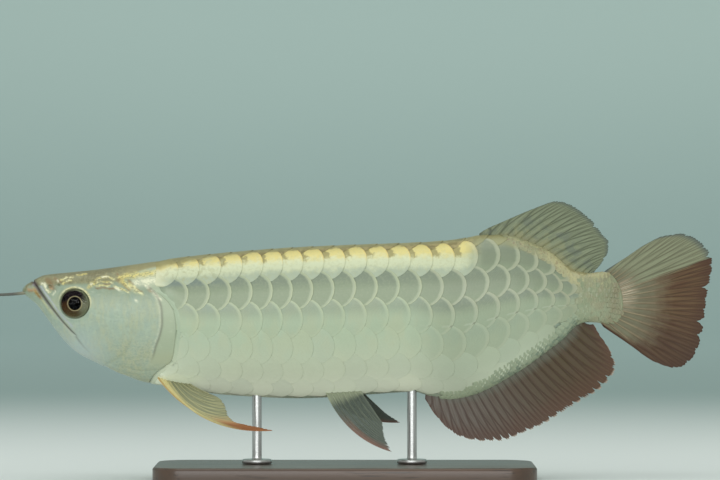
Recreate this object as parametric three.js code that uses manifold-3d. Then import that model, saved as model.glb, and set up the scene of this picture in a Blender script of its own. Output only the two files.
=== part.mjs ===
// A life-size Asian arowana, swimming, on a plain display stand.
// Millimetres, +Z up. The head points to -X and the fish's left side faces -Y.
// The origin is the centre of the stand's underside.

import * as THREE from "three";
import { mergeVertices } from "three/addons/utils/BufferGeometryUtils.js";
import Module from "manifold-3d";

const wasm = await Module();
wasm.setup();

// The fish's outline as [x, z] from the snout to the tail: back, belly, and half its width.
const SNOUT_X = -161;
const BACK = [
  [-161, 95.1], [-160, 97.2], [-157.5, 98.9], [-155, 100.4], [-150, 102.5], [-139, 103.7],
  [-124.5, 105.2], [-104.5, 107.9], [-80.5, 111.3], [-56.5, 113.8], [-24.5, 116.2], [7.5, 117.6],
  [39.5, 118.8], [57, 120.3], [67.5, 122.2], [77.5, 122.4], [85, 121.4], [91, 119.2], [102.5, 113.8],
  [108.5, 108.8], [114, 104.5], [120, 103.1], [127.5, 103.7], [135, 105], [142, 106.5],
];
const BELLY = [
  [-161, 94.3], [-160, 93.2], [-158, 91.3], [-153.5, 86.6], [-148, 79], [-139, 67.6],
  [-132.5, 62.3], [-124.5, 58.6], [-112.5, 53], [-100.5, 49], [-82.5, 45.3], [-58.5, 42],
  [-22.5, 40.4], [13.5, 42.4], [35, 43.6], [42, 41.6], [52.5, 40.6], [62.5, 42.3],
  [81.5, 51.2], [93, 58.6], [102.5, 65.6], [110, 71.4], [116, 77.6], [121.5, 79.2],
  [127.5, 78.8], [142, 74],
];
const HALF_WIDTH = [
  [-161, 1.2], [-160, 3.2], [-158, 5], [-155, 6.8], [-150, 8.9], [-139, 11.6], [-124.5, 13.6],
  [-104.5, 15.5], [-80.5, 16.7], [-40, 17.6], [0, 17.8], [40, 16.6], [67, 14.4], [85, 12],
  [102.5, 8.8], [114, 6.4], [121.5, 5.2], [130, 3.6], [138, 1.7], [142, 1.2],
];
const WIDEST_AT = [[-161, 0.5], [-139, 0.6], [-100, 0.58], [-60, 0.6], [40, 0.62], [110, 0.52], [142, 0.5]];
const CROWN_POWER = [[-161, 0.9], [-150, 0.66], [-120, 0.64], [-80, 0.7], [0, 0.76], [100, 0.86], [142, 1]];
const KEEL_POWER = [[-161, 1], [-139, 0.95], [-100, 1.05], [-40, 1.15], [60, 1.15], [142, 1]];
const TAIL_SWING = 8;
const HEAD_SWING = 2.5;

// Gaps between neighbours.
const GAP = 0.3;
const MOUTH_GAP = 0.6;
const REACH_ACROSS = 60;

// Fins: half the thickness of a ray and of the web, and how far each ray's tip passes the web.
const RAY_ROOT = 0.62;
const RAY_TIP = 0.32;
const WEB = 0.25;
const SERRATION = 0.035;

// Scales: rows round each half of the girth, where each lies in it, and the x of each column's hind edges.
const ROWS = 7;
const ROW_SHARE = [[0, 0], [1, 0.189], [2, 0.342], [3, 0.501], [4, 0.661], [5, 0.801], [6, 0.911], [7, 1]];
const COLUMN_X = [
  [-5, -124], [0, -77], [6, -15.5], [12, 49.3], [15, 82.5], [18, 108.8], [22, 134.8], [24, 146],
];
const FIRST_HALF_COLUMN = -6;
const LAST_HALF_COLUMN = 47;
const CORNER_BACK = 0.109;
const CORNER_SIDE = 0.343;
const MIDDLE_BACK = 0.4;
const BED = -0.35;
const RIM = 0.32;
const MIDDLE_LIFT = 0.12;

// Where the fish is parted. Each outline is [x, z].
const HEAD_END = [
  [-97.5, 115], [-97.5, 96], [-92.5, 90], [-89.5, 83.5], [-88.5, 77], [-89.5, 69.5], [-90.5, 62],
  [-93.5, 54], [-97, 40],
];
const MOUTH = [[-158, 102], [-156.2, 98.7], [-153, 95.3], [-148.2, 87.8], [-141.8, 80.6], [-134.4, 72.3]];
const JAW_END = [[-131, 66], [-129, 54]];
const GILL_COVER = [
  [-107, 98], [-101, 97.6], [-95.4, 95.8], [-90.8, 92.2], [-87, 88.1], [-84.7, 83], [-83.9, 77],
  [-84.3, 70], [-85.2, 63.6], [-88, 58.8], [-94, 56.4], [-103, 57], [-110.5, 61], [-114.8, 68],
  [-116.5, 78], [-116, 88], [-112.5, 95],
];
const FLESH_END = [
  [125, 112], [129, 106], [134, 101.5], [138, 97.5], [140.2, 93], [141, 88.5], [140.2, 83.5],
  [137, 79.5], [131.5, 76], [128, 70],
];
const TRUNK_CUTS = [-22, 52, 112];
const PLATE_LIFT = 0.45;
const PLATE_THICK = 2.4;

// Eyes and nostrils: their places on the side of the head, and sizes.
const EYE = { x: -134.4, z: 88.4, radius: 7.1, depth: 4.7, stand: 1.5 };
const NOSTRIL = { x: -147.3, z: 96.8, radius: 1.3 };

// Lips: tubes half sunk along both edges of the mouth.
const LIP_RADIUS = 1;
const LIP_SUNK = 0.35;
const LIP_OFFSET = 1.25;
const LIP_START = 0.14;
const LIP_STEPS = 7;

// Fins. In the middle plane their tips are [share of the fin, x, z], and paired fins add the reach out
// from the middle. Roots lie inside the body.
const DORSAL_RAYS = 17;
const DORSAL_BASE = [67.5, 122.5];
const DORSAL_TIPS = [
  [0, 67, 122.8], [0.03, 70.5, 125.2], [0.07, 77.5, 128.5], [0.11, 85.5, 132], [0.15, 94, 135.6],
  [0.2, 105.5, 139.5], [0.3, 112.5, 138], [0.4, 118.5, 134.2], [0.5, 124.5, 129], [0.6, 128.8, 123.2],
  [0.7, 132.2, 118.7], [0.8, 131.7, 114], [0.9, 129, 109], [1, 124.5, 103.7],
];
const ANAL_RAYS = 26;
const ANAL_BASE = [40.3, 117.5];
const ANAL_TIPS = [
  [0, 40, 41], [0.04, 44, 34], [0.08, 51, 26], [0.13, 58.5, 21.2], [0.2, 68.5, 19.3], [0.28, 78, 19.3],
  [0.38, 87.5, 22.6], [0.48, 98, 27], [0.58, 107.5, 32.7], [0.68, 117.5, 39], [0.78, 126.5, 44.2],
  [0.86, 133, 50.7], [0.91, 135.8, 56.5], [0.95, 134, 62.5], [1, 124.5, 78],
];
const TAIL_RAYS = 19;
const TAIL_TIPS = [
  [0, 131.5, 105.2], [0.03, 142, 112], [0.07, 151, 118], [0.11, 159.5, 122], [0.16, 168.5, 123.3],
  [0.22, 174, 122], [0.28, 179, 118.7], [0.34, 183, 114], [0.41, 184.5, 108.5], [0.5, 183.2, 99.5],
  [0.58, 181.5, 91.5], [0.66, 180.5, 83], [0.74, 179, 73], [0.81, 176.5, 65], [0.87, 171.5, 58.2],
  [0.92, 165, 55.7], [0.95, 155, 59], [0.98, 142, 68], [1, 129.5, 76.5],
];
const PECTORAL_RAYS = 7;
const PECTORAL_LEFT_TIPS = [
  [0, -34.9, 26.7, 43], [0.15, -44.5, 28.6, 40.5], [0.3, -53, 30.4, 36.5], [0.45, -57.5, 33.7, 31],
  [0.6, -58.8, 37.6, 26], [0.8, -62.2, 41.7, 20], [1, -67.6, 43.8, 16],
];
const PECTORAL_RIGHT_TIPS = [
  [0, -45, 47, 42], [0.15, -50.5, 46, 38], [0.3, -54.5, 45.5, 34], [0.45, -57.5, 45.5, 29.5],
  [0.6, -60, 46, 25.5], [0.8, -63.5, 46.5, 20], [1, -68, 46.5, 15],
];
const PECTORAL_ROOTS = [[-94.5, 52.7, 5], [-79, 48.7, 4]];
const PECTORAL_LEFT_BOW = [-6.3, -16.5, 3];
const PECTORAL_RIGHT_BOW = [-4, -6.5, 5];
const PELVIC_RAYS = 6;
const PELVIC_LEFT_TIPS = [
  [0, 23.3, 14.9, 17.5], [0.3, 21.5, 18.4, 16.5], [0.6, 19.7, 22.3, 14.5], [1, 18.7, 29, 11],
];
const PELVIC_RIGHT_TIPS = [
  [0, 27.8, 27.8, 23], [0.3, 25.3, 29.5, 20], [0.6, 21.9, 31.7, 16], [1, 17.4, 35.4, 11],
];
const PELVIC_ROOTS = [[-10, 44.4, 3.5], [7.5, 45.1, 3.2]];
const PELVIC_BOW = [-6, -8.7, 1];
const ROOT_SUNK = 3;

// Barbels.
const BARBEL = {
  root: -159.5, tip: -191, z: 93.8, sag: 1.2, apart: 2, spread: 6.5, thick: 0.85, thin: 0.4,
};

// Stand.
const BASE_THICK = 8;
const BASE_LONG = 190;
const BASE_WIDE = 84;
const BASE_CORNER = 16;
const BASE_EDGE = 1.4;
const ROD_RADIUS = 2.4;
const ROD_X = [-44, 33.5];
const FOOT_RADIUS = 7.5;
const FOOT_THICK = 2.2;
const FOOT_EDGE = 0.6;

const lerp = (a, b, t) => a + (b - a) * t;
const clamp = (v, low, high) => Math.min(high, Math.max(low, v));
const evenly = (from, to, count) => Array.from({ length: count + 1 }, (_, i) => lerp(from, to, i / count));
const sum = (vectors) => vectors.reduce((a, p) => a.add(p), new THREE.Vector3());

// A curve through [x, value] pairs in cubic pieces that never overshoot the pairs.
function through(pairs) {
  const step = pairs.slice(1).map(([x, v], i) => (v - pairs[i][1]) / (x - pairs[i][0]));
  const slope = pairs.map((_, i) => {
    const a = step[Math.max(i - 1, 0)];
    const b = step[Math.min(i, step.length - 1)];
    return a * b <= 0 ? 0 : (2 * a * b) / (a + b);
  });
  return (x) => {
    let i = pairs.findIndex((p) => p[0] > x) - 1;
    if (x < pairs[0][0]) i = 0;
    if (i < 0) i = pairs.length - 2;
    const [x0, v0] = pairs[i];
    const [x1, v1] = pairs[i + 1];
    const w = x1 - x0;
    const t = clamp((x - x0) / w, 0, 1);
    const u = 1 - t;
    return (
      v0 * u * u * (1 + 2 * t) + v1 * t * t * (3 - 2 * t) +
      w * (slope[i] * t * u * u - slope[i + 1] * t * t * u)
    );
  };
}

const back = through(BACK);
const belly = through(BELLY);
const halfWidth = through(HALF_WIDTH);
const widestAt = through(WIDEST_AT);
const crownPower = through(CROWN_POWER);
const keelPower = through(KEEL_POWER);
const columnX = through(COLUMN_X);
const rowShare = through(ROW_SHARE);

// How far the fish's middle plane is carried sideways at x, as it bends gently in a turn.
const swing = (x) => (x > 0 ? TAIL_SWING * (x / 185) ** 2 : HEAD_SWING * (x / 161) ** 2);

// One point [y, z] of half the cross-section at x. The angle is 0 on the back and PI on the keel.
function outline(x, angle) {
  const top = back(x);
  const bottom = belly(x);
  const wide = lerp(bottom, top, widestAt(x));
  const c = Math.cos(angle);
  const s = Math.max(Math.sin(angle), 0);
  if (c >= 0) {
    const power = crownPower(x);
    return [halfWidth(x) * s ** power, wide + (top - wide) * c ** power];
  }
  return [halfWidth(x) * s ** keelPower(x), wide + (wide - bottom) * c];
}

// The same point for a share of the half girth, from 0 on the back to 1 on the keel.
const GIRTH_STEPS = 160;
const girths = new Map();
function girthAt(x) {
  const key = x.toFixed(4);
  if (!girths.has(key)) {
    const points = evenly(0, Math.PI, GIRTH_STEPS).map((angle) => outline(x, angle));
    const reached = [0];
    for (let i = 1; i <= GIRTH_STEPS; i++) {
      const [[y0, z0], [y1, z1]] = [points[i - 1], points[i]];
      reached.push(reached[i - 1] + Math.hypot(y1 - y0, z1 - z0));
    }
    girths.set(key, { points, reached });
  }
  return girths.get(key);
}
function atGirth(x, share) {
  const { points, reached } = girthAt(x);
  const want = clamp(share, 0, 1) * reached[GIRTH_STEPS];
  const i = Math.max(reached.findIndex((r) => r >= want), 1);
  const t = (want - reached[i - 1]) / (reached[i] - reached[i - 1]);
  return [lerp(points[i - 1][0], points[i][0], t), lerp(points[i - 1][1], points[i][1], t)];
}

// A point of the skin at x, lifted along the normal. Row 0 is the back, ROWS the keel, and 2 * ROWS the back
// again.
function skin(x, row, lift) {
  const turn = ((row % (2 * ROWS)) + 2 * ROWS) % (2 * ROWS);
  const side = turn > ROWS ? 1 : -1;
  const share = rowShare(turn > ROWS ? 2 * ROWS - turn : turn);
  const at = (ax, as) => {
    const [y, z] = atGirth(ax, as < 0 ? -as : as > 1 ? 2 - as : as);
    return new THREE.Vector3(ax, side * (as < 0 || as > 1 ? -y : y), z);
  };
  const here = at(x, share);
  if (lift) {
    const along = at(x + 0.5, share).sub(at(x - 0.5, share));
    const round = at(x, share + 0.01).sub(at(x, share - 0.01));
    here.addScaledVector(along.cross(round).normalize(), side * lift);
  }
  here.y += swing(x);
  return here;
}

// Half the fish's width at x and height z.
function widthAt(x, z) {
  const top = back(x);
  const bottom = belly(x);
  const wide = lerp(bottom, top, widestAt(x));
  if (z >= wide) {
    const c = clamp((z - wide) / (top - wide), 0, 1) ** (1 / crownPower(x));
    return halfWidth(x) * Math.sqrt(1 - c * c) ** crownPower(x);
  }
  const c = clamp((wide - z) / (wide - bottom), 0, 1);
  return halfWidth(x) * Math.sqrt(1 - c * c) ** keelPower(x);
}

// A point on one side of the fish at x and z, lifted along the normal. Side is -1 for its left and 1 for
// its right.
function flank(x, z, side, lift) {
  const dx = (widthAt(x + 0.4, z) - widthAt(x - 0.4, z)) / 0.8;
  const dz = (widthAt(x, z + 0.4) - widthAt(x, z - 0.4)) / 0.8;
  const normal = new THREE.Vector3(-dx, 1, -dz).normalize().multiplyScalar(lift);
  return new THREE.Vector3(
    x + normal.x, side * (widthAt(x, z) + normal.y) + swing(x), z + normal.z);
}

// A closed solid from points and triangles.
function solid(points, faces) {
  const vertProperties = new Float32Array(points.flatMap((p) => [p.x, p.y, p.z]));
  const triVerts = new Uint32Array(faces.flat());
  const made = new wasm.Manifold(new wasm.Mesh({ numProp: 3, vertProperties, triVerts }));
  return made.volume() < 0 ? solid(points, faces.map(([a, b, c]) => [a, c, b])) : made;
}

// A solid from a three.js geometry.
function solidOf(geometry) {
  const bare = geometry.clone();
  bare.deleteAttribute("normal");
  bare.deleteAttribute("uv");
  const merged = mergeVertices(bare, 1e-3);
  const vertProperties = merged.getAttribute("position").array;
  const triVerts = new Uint32Array(merged.index.array);
  return new wasm.Manifold(new wasm.Mesh({ numProp: 3, vertProperties, triVerts }));
}

// The largest closed surface of a solid.
const largest = (s) => s.decompose().sort((a, b) => b.volume() - a.volume())[0];

const centre = (points) => sum(points).divideScalar(points.length);

// Rings of equally many points joined into a closed body, each end capped by a point.
function loft(rings, first, last) {
  const n = rings[0].length;
  const points = [...rings.flat(), first, last];
  const faces = [];
  for (let i = 0; i + 1 < rings.length; i++)
    for (let j = 0; j < n; j++) {
      const [a, b] = [i * n + j, i * n + ((j + 1) % n)];
      faces.push([a, b, b + n], [a, b + n, a + n]);
    }
  const end = (rings.length - 1) * n;
  for (let j = 0; j < n; j++) {
    faces.push([rings.length * n, (j + 1) % n, j]);
    faces.push([rings.length * n + 1, end + j, end + ((j + 1) % n)]);
  }
  return solid(points, faces);
}

// Two facing grids of points closed round their edge, both split along the same diagonals.
function slab(front, rear) {
  const [m, n] = [front.length, front[0].length];
  const points = [...front.flat(), ...rear.flat()];
  const faces = [];
  const far = m * n;
  for (let i = 0; i + 1 < m; i++)
    for (let j = 0; j + 1 < n; j++) {
      const a = i * n + j;
      const [b, c, d] = [a + 1, a + n + 1, a + n];
      faces.push([a, b, c], [a, c, d]);
      faces.push([far + a, far + c, far + b], [far + a, far + d, far + c]);
    }
  const rim = [];
  for (let j = 0; j + 1 < n; j++) rim.push(j);
  for (let i = 0; i + 1 < m; i++) rim.push(i * n + n - 1);
  for (let j = n - 1; j > 0; j--) rim.push((m - 1) * n + j);
  for (let i = m - 1; i > 0; i--) rim.push(i * n);
  rim.forEach((a, k) => {
    const b = rim[(k + 1) % rim.length];
    faces.push([a, far + b, b], [a, far + a, far + b]);
  });
  return solid(points, faces);
}

// A prism right across the fish whose outline is a list of [x, z].
function across(points) {
  const shape = new THREE.Shape(points.map(([x, z]) => new THREE.Vector2(x, z)));
  const geometry = new THREE.ExtrudeGeometry(shape, { depth: 2 * REACH_ACROSS, bevelEnabled: false });
  geometry.rotateX(Math.PI / 2);
  geometry.translate(0, REACH_ACROSS, 0);
  return solidOf(geometry);
}

// A closed outline moved outwards by a margin, corner by corner.
function grown(points, margin) {
  const turn = Math.sign(points.reduce((a, [x, z], i) => {
    const [nx, nz] = points[(i + 1) % points.length];
    return a + x * nz - nx * z;
  }, 0));
  return points.map(([x, z], i) => {
    const [px, pz] = points[(i + points.length - 1) % points.length];
    const [nx, nz] = points[(i + 1) % points.length];
    const before = new THREE.Vector2(z - pz, px - x).normalize();
    const after = new THREE.Vector2(nz - z, x - nx).normalize();
    const corner = before.clone().add(after).normalize();
    const reach = (turn * margin) / Math.max(corner.dot(after), 0.5);
    return [x + corner.x * reach, z + corner.y * reach];
  });
}

// The smooth body along the given stations, lifted all over.
function smoothBody(stations, sides, lift) {
  const rings = stations.map((x) =>
    Array.from({ length: sides }, (_, j) => skin(x, (2 * ROWS * j) / sides, lift)));
  const first = centre(rings[0]);
  if (stations[0] === SNOUT_X) first.x -= 0.5;
  return loft(rings, first, centre(rings[rings.length - 1]));
}

// A tube along a path, six-sided, with a radius for each share of its length.
function tube(path, radius) {
  const sideways = new THREE.Vector3(0, 1, 0);
  const rings = path.map((p, i) => {
    const along = path[Math.min(i + 1, path.length - 1)].clone().sub(path[Math.max(i - 1, 0)]).normalize();
    const u = sideways.clone().cross(along).normalize();
    const v = along.clone().cross(u);
    const r = radius(i / (path.length - 1));
    return evenly(0, (5 / 3) * Math.PI, 5).map((a) =>
      p.clone().addScaledVector(u, r * Math.cos(a)).addScaledVector(v, r * Math.sin(a)));
  });
  return loft(rings, path[0], path[path.length - 1]);
}

// The body covered in scales, lifted all over. A scale's free hind edge has a tip, two corners, and an end
// each side where it comes out from under the next rows. Its sheet rises from its bed to that edge, and a
// low step drops from the edge to the scales behind. Columns count half scales, and a scale's column and row
// add up to an even number.
function scaledBody(lift) {
  const points = [];
  const beds = new Map();
  const rims = new Map();
  const place = (column, row, corner, level) => {
    const x = columnX(column / 2 - CORNER_BACK * Math.abs(corner));
    return points.push(skin(x, row + CORNER_SIDE * corner, level + lift)) - 1;
  };
  const look = (kept, level) => (column, row, corner) => {
    const key = [column, (row + 2 * ROWS) % (2 * ROWS), corner].join();
    if (!kept.has(key)) kept.set(key, place(column, row, corner, level));
    return kept.get(key);
  };
  const bed = look(beds, BED);
  const rim = look(rims, RIM);
  const faces = [];
  for (let c = FIRST_HALF_COLUMN; c <= LAST_HALF_COLUMN; c++)
    for (let r = Math.abs(c % 2); r < 2 * ROWS; r += 2) {
      const edge = [
        bed(c - 2, r, 0), bed(c - 2, r, 1), bed(c - 1, r + 1, -1), rim(c, r, 1),
        rim(c, r, 0), rim(c, r, -1), bed(c - 1, r - 1, 1), bed(c - 2, r, -1),
      ];
      const middle = points.push(skin(columnX(c / 2 - MIDDLE_BACK), r, MIDDLE_LIFT + lift)) - 1;
      edge.forEach((a, k) => faces.push([middle, a, edge[(k + 1) % edge.length]]));
      const [, , start, upper, tip, lower, end] = edge;
      const [upperBed, tipBed, lowerBed] = [bed(c, r, 1), bed(c, r, 0), bed(c, r, -1)];
      faces.push([upper, start, upperBed], [tip, upper, upperBed], [tip, upperBed, tipBed]);
      faces.push([lower, tip, tipBed], [lower, tipBed, lowerBed], [end, lower, lowerBed]);
    }
  const ring = (even, odd) =>
    Array.from({ length: 2 * ROWS }, (_, r) => [-1, 0, 1].map((k) => bed(r % 2 ? odd : even, r, k))).flat();
  const cap = (loop, turned) => {
    const hub = points.push(centre(loop.map((k) => points[k]))) - 1;
    loop.forEach((a, k) => {
      const b = loop[(k + 1) % loop.length];
      faces.push(turned ? [hub, b, a] : [hub, a, b]);
    });
  };
  cap(ring(FIRST_HALF_COLUMN - 2, FIRST_HALF_COLUMN - 1), true);
  cap(ring(LAST_HALF_COLUMN - 1, LAST_HALF_COLUMN), false);
  return solid(points, faces);
}

const HEAD_STATIONS = [SNOUT_X, -160.2, -158.5, -156, -153, -149.5, -145, ...evenly(-140, -80, 12)];
const CHEEK_STATIONS = evenly(-125, -75, 12);
const HEAD_SIDES = 28;
const headForm = (lift) => smoothBody(HEAD_STATIONS, HEAD_SIDES, lift);

// The cheeks with each side brought in by a margin.
const cheeks = (margin) => loft(
  CHEEK_STATIONS.map((x) => Array.from({ length: HEAD_SIDES }, (_, j) => {
    const p = skin(x, (2 * ROWS * j) / HEAD_SIDES, 0);
    p.y = lerp(p.y, swing(x), margin / halfWidth(x));
    return p;
  })),
  ...[CHEEK_STATIONS[0], CHEEK_STATIONS[CHEEK_STATIONS.length - 1]].map((x) =>
    new THREE.Vector3(x, swing(x), lerp(belly(x), back(x), 0.5))));

const body = scaledBody(0);
const roomForHead = headForm(GAP);
const roomForBody = scaledBody(GAP);

// What lies before the flesh's rounded hind end, where the tail fin's rays leave it, and what lies before
// a line.
const beforeEnd = (margin) =>
  across(grown([[125, 160], ...FLESH_END, [128, 0], [-120, 0], [-120, 160]], margin));
const inFront = (line, margin) => across(grown([...line, [-190, 40], [-190, 115]], margin));

// One side of the fish, as a block.
const half = (side) =>
  solidOf(new THREE.BoxGeometry(400, REACH_ACROSS, 200).translate(0, (side * REACH_ACROSS) / 2, 80));

// Bony gill covers lie on the head's sides and reach back over the front of the trunk.
const gillRoom = across(grown(GILL_COVER, GAP)).subtract(cheeks(PLATE_THICK + GAP));
const gillCovers = across(GILL_COVER).intersect(headForm(PLATE_LIFT)).subtract(cheeks(PLATE_THICK));

// Eyes are domes a little flatter than a ball, and nostrils are pits.
function eyeball(side, margin) {
  const ball = new THREE.SphereGeometry(1, 16, 9).rotateX(Math.PI / 2);
  ball.scale(EYE.radius + margin, EYE.depth + margin, EYE.radius + margin);
  const y = widthAt(EYE.x, EYE.z) + EYE.stand - EYE.depth;
  return solidOf(ball.translate(EYE.x, side * y + swing(EYE.x), EYE.z));
}
function nostril(side) {
  const at = flank(NOSTRIL.x, NOSTRIL.z, side, 0);
  const pit = new THREE.SphereGeometry(NOSTRIL.radius, 8, 6);
  return solidOf(pit.translate(at.x, at.y, at.z));
}

// A lip follows the mouth's edge on one side, a little above it or below it.
function lip(side, offset) {
  const edge = MOUTH.slice(1).map(([x, z]) => new THREE.Vector2(x, z));
  const curve = new THREE.SplineCurve(edge);
  const path = evenly(LIP_START, 1, LIP_STEPS).map((s) => {
    const p = curve.getPoint(s);
    const along = curve.getTangent(s);
    return flank(p.x - along.y * offset, p.y + along.x * offset, side, -LIP_SUNK);
  });
  return tube(path, (s) => LIP_RADIUS * (1 - 0.45 * s));
}

const LOWER_JAW = [...MOUTH, ...JAW_END, [-190, 54], [-190, 102]];
const lips = (offset) => lip(-1, offset).add(lip(1, offset));
const jaw = largest(headForm(0).add(lips(-LIP_OFFSET)).intersect(across(LOWER_JAW)));
const hollows = [-1, 1].flatMap((side) => [eyeball(side, GAP), nostril(side)]);
const head = largest(
  [gillRoom, across(grown(LOWER_JAW, MOUTH_GAP)), ...hollows]
    .reduce((a, b) => a.subtract(b), headForm(0).add(lips(LIP_OFFSET)).intersect(inFront(HEAD_END, 0))));

const flesh = body.subtract(inFront(HEAD_END, GAP)).intersect(beforeEnd(0)).subtract(gillRoom);
const ends = [-120, ...TRUNK_CUTS, 160];
const trunk = ends.slice(1).map((to, i) => {
  const from = ends[i] + (i ? GAP / 2 : 0);
  const stop = to - (i + 2 < ends.length ? GAP / 2 : 0);
  return largest(flesh.intersect(across([[from, 20], [stop, 20], [stop, 140], [from, 140]])));
});

// A fin as one sheet with its rays raised on both faces. `place(t, s)` is the sheet's middle, with t across
// the rays and s along them. Each ray's tip passes the web beside it.
function fin(rays, steps, place) {
  const nudge = 0.004;
  const sheet = evenly(0, 1, 2 * rays - 2).map((t, j) => {
    const web = j % 2 === 1;
    return evenly(0, web ? 1 - SERRATION : 1, steps).map((s) => {
      const side = place(Math.min(t + nudge, 1), s).sub(place(Math.max(t - nudge, 0), s));
      const along = place(t, Math.min(s + nudge, 1)).sub(place(t, Math.max(s - nudge, 0)));
      const normal = side.cross(along).normalize();
      return { middle: place(t, s), normal, thick: web ? WEB : lerp(RAY_ROOT, RAY_TIP, s) };
    });
  });
  const face = (sign) => sheet.map((ray) =>
    ray.map(({ middle, normal, thick }) => middle.clone().addScaledVector(normal, sign * thick)));
  return slab(face(1), face(-1));
}

// A ray from root to tip, bowed by a vector at its middle.
const bowed = (root, tip, bow, s) =>
  root.clone().multiplyScalar((1 - s) ** 2).addScaledVector(tip, s * s)
    .addScaledVector(root.clone().add(tip).multiplyScalar(0.5).add(bow), 2 * s * (1 - s));

// A fin in the fish's middle plane. Tips are [t, x, z], `root(t)` gives [x, z], and `wave` sways it
// sideways.
function middleFin(tips, root, bow, wave) {
  const [tipX, tipZ] = [1, 2].map((k) => through(tips.map((p) => [p[0], p[k]])));
  return (t, s) => {
    const [x, z] = root(t);
    const point = bowed(
      new THREE.Vector3(x, 0, z), new THREE.Vector3(tipX(t), 0, tipZ(t)), new THREE.Vector3(0, 0, bow), s);
    point.y = swing(point.x) + wave(t, s);
    return point;
  };
}

// A paired fin. Tips are [t, x, z, reach out from the middle], and the roots run between two such points.
function pairedFin(tips, roots, bow, side) {
  const [tipX, tipZ, tipOut] = [1, 2, 3].map((k) => through(tips.map((p) => [p[0], p[k]])));
  const [first, last] = roots.map(([x, z, out]) => new THREE.Vector3(x, out, z));
  const [bowX, bowZ, bowOut] = bow;
  return (t, s) => {
    const tip = new THREE.Vector3(tipX(t), tipOut(t), tipZ(t));
    const bend = new THREE.Vector3(bowX, bowOut, bowZ).multiplyScalar(1 - t);
    const point = bowed(first.clone().lerp(last, t), tip, bend, s);
    point.y = side * point.y + swing(point.x);
    return point;
  };
}

const dorsal = middleFin(DORSAL_TIPS, (t) => {
  const x = lerp(...DORSAL_BASE, t);
  return [x, back(x) - ROOT_SUNK];
}, 3, (t, s) => 0.8 * s * Math.sin(5 * t));
const anal = middleFin(ANAL_TIPS, (t) => {
  const x = lerp(...ANAL_BASE, t);
  return [x, belly(x) + ROOT_SUNK];
}, -3, (t, s) => 1.1 * s * Math.sin(6 * t));
const tail = middleFin(
  TAIL_TIPS, (t) => [lerp(129, 128, t) + 7 * Math.sin(Math.PI * t), lerp(103, 79, t)],
  0, (t, s) => 2 * s * Math.sin(5 * t + 0.6));
const rooted = (place, rays, steps) => largest(fin(rays, steps, place).subtract(roomForBody));
const tailFin = largest(fin(TAIL_RAYS, 6, tail).subtract(roomForBody.intersect(beforeEnd(GAP))));

// Barbels reach forward from the tip of the lower jaw.
function barbel(side) {
  const path = evenly(0, 1, 11).map((s) => new THREE.Vector3(
    lerp(BARBEL.root, BARBEL.tip, s),
    side * lerp(BARBEL.apart, BARBEL.spread, s) + swing(BARBEL.root),
    BARBEL.z - BARBEL.sag * 4 * s * (1 - s)));
  return largest(tube(path, (s) => lerp(BARBEL.thick, BARBEL.thin, s)).subtract(roomForHead));
}

// The stand: a flat base with rounded corners and edges, and two rods with round feet.
function standBase() {
  const [x, y, r] = [BASE_LONG / 2 - BASE_EDGE, BASE_WIDE / 2 - BASE_EDGE, BASE_CORNER];
  const shape = new THREE.Shape();
  shape.absarc(x - r, y - r, r, 0, Math.PI / 2);
  shape.absarc(r - x, y - r, r, Math.PI / 2, Math.PI);
  shape.absarc(r - x, r - y, r, Math.PI, 1.5 * Math.PI);
  shape.absarc(x - r, r - y, r, 1.5 * Math.PI, 2 * Math.PI);
  const plate = new THREE.ExtrudeGeometry(shape, {
    depth: BASE_THICK - 2 * BASE_EDGE, bevelThickness: BASE_EDGE, bevelSize: BASE_EDGE, bevelSegments: 1,
    curveSegments: 6,
  });
  return solidOf(plate.translate(0, 0, BASE_EDGE));
}
function standRod(x) {
  const bottom = BASE_THICK + GAP;
  const footTop = bottom + FOOT_THICK;
  const top = lerp(belly(x), back(x), 0.3);
  const profile = [
    [0, bottom], [FOOT_RADIUS, bottom], [FOOT_RADIUS, footTop - FOOT_EDGE],
    [FOOT_RADIUS - FOOT_EDGE, footTop], [ROD_RADIUS, footTop], [ROD_RADIUS, top], [0, top],
  ];
  const turned = new THREE.LatheGeometry(profile.map(([r, z]) => new THREE.Vector2(r, z)), 16);
  return largest(solidOf(turned.rotateX(Math.PI / 2).translate(x, 0, 0)).subtract(roomForBody));
}

// Finishes by part.
const finish = (color, roughness, metalness) =>
  new THREE.MeshStandardMaterial({ color, roughness, metalness });
const HEAD_FINISH = finish(0xa9bda2, 0.35, 0.35);
const JAW_FINISH = finish(0xa3b59b, 0.4, 0.25);
const PLATE_FINISH = finish(0xb9cda9, 0.3, 0.45);
const SCALE_FINISH = finish(0xb4c5a8, 0.3, 0.5);
const OLIVE_FIN = finish(0x6f7558, 0.5, 0.1);
const RED_FIN = finish(0x5c4034, 0.5, 0.1);
const CLEAR_FIN = finish(0x9a9678, 0.45, 0.1);
const BARBEL_FINISH = finish(0x4c5646, 0.5, 0);
const EYE_FINISH = finish(0x2a1712, 0.1, 0);
const WOOD = finish(0x2a211c, 0.45, 0);
const STEEL = finish(0xa8a8a4, 0.3, 0.9);

const arowana = new THREE.Group();
function add(name, made, material) {
  const mesh = made.getMesh();
  const geometry = new THREE.BufferGeometry();
  geometry.setAttribute("position", new THREE.BufferAttribute(mesh.vertProperties, 3));
  geometry.setIndex(new THREE.BufferAttribute(mesh.triVerts, 1));
  geometry.computeVertexNormals();
  const part = new THREE.Mesh(geometry, material);
  part.name = name;
  arowana.add(part);
}

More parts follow.
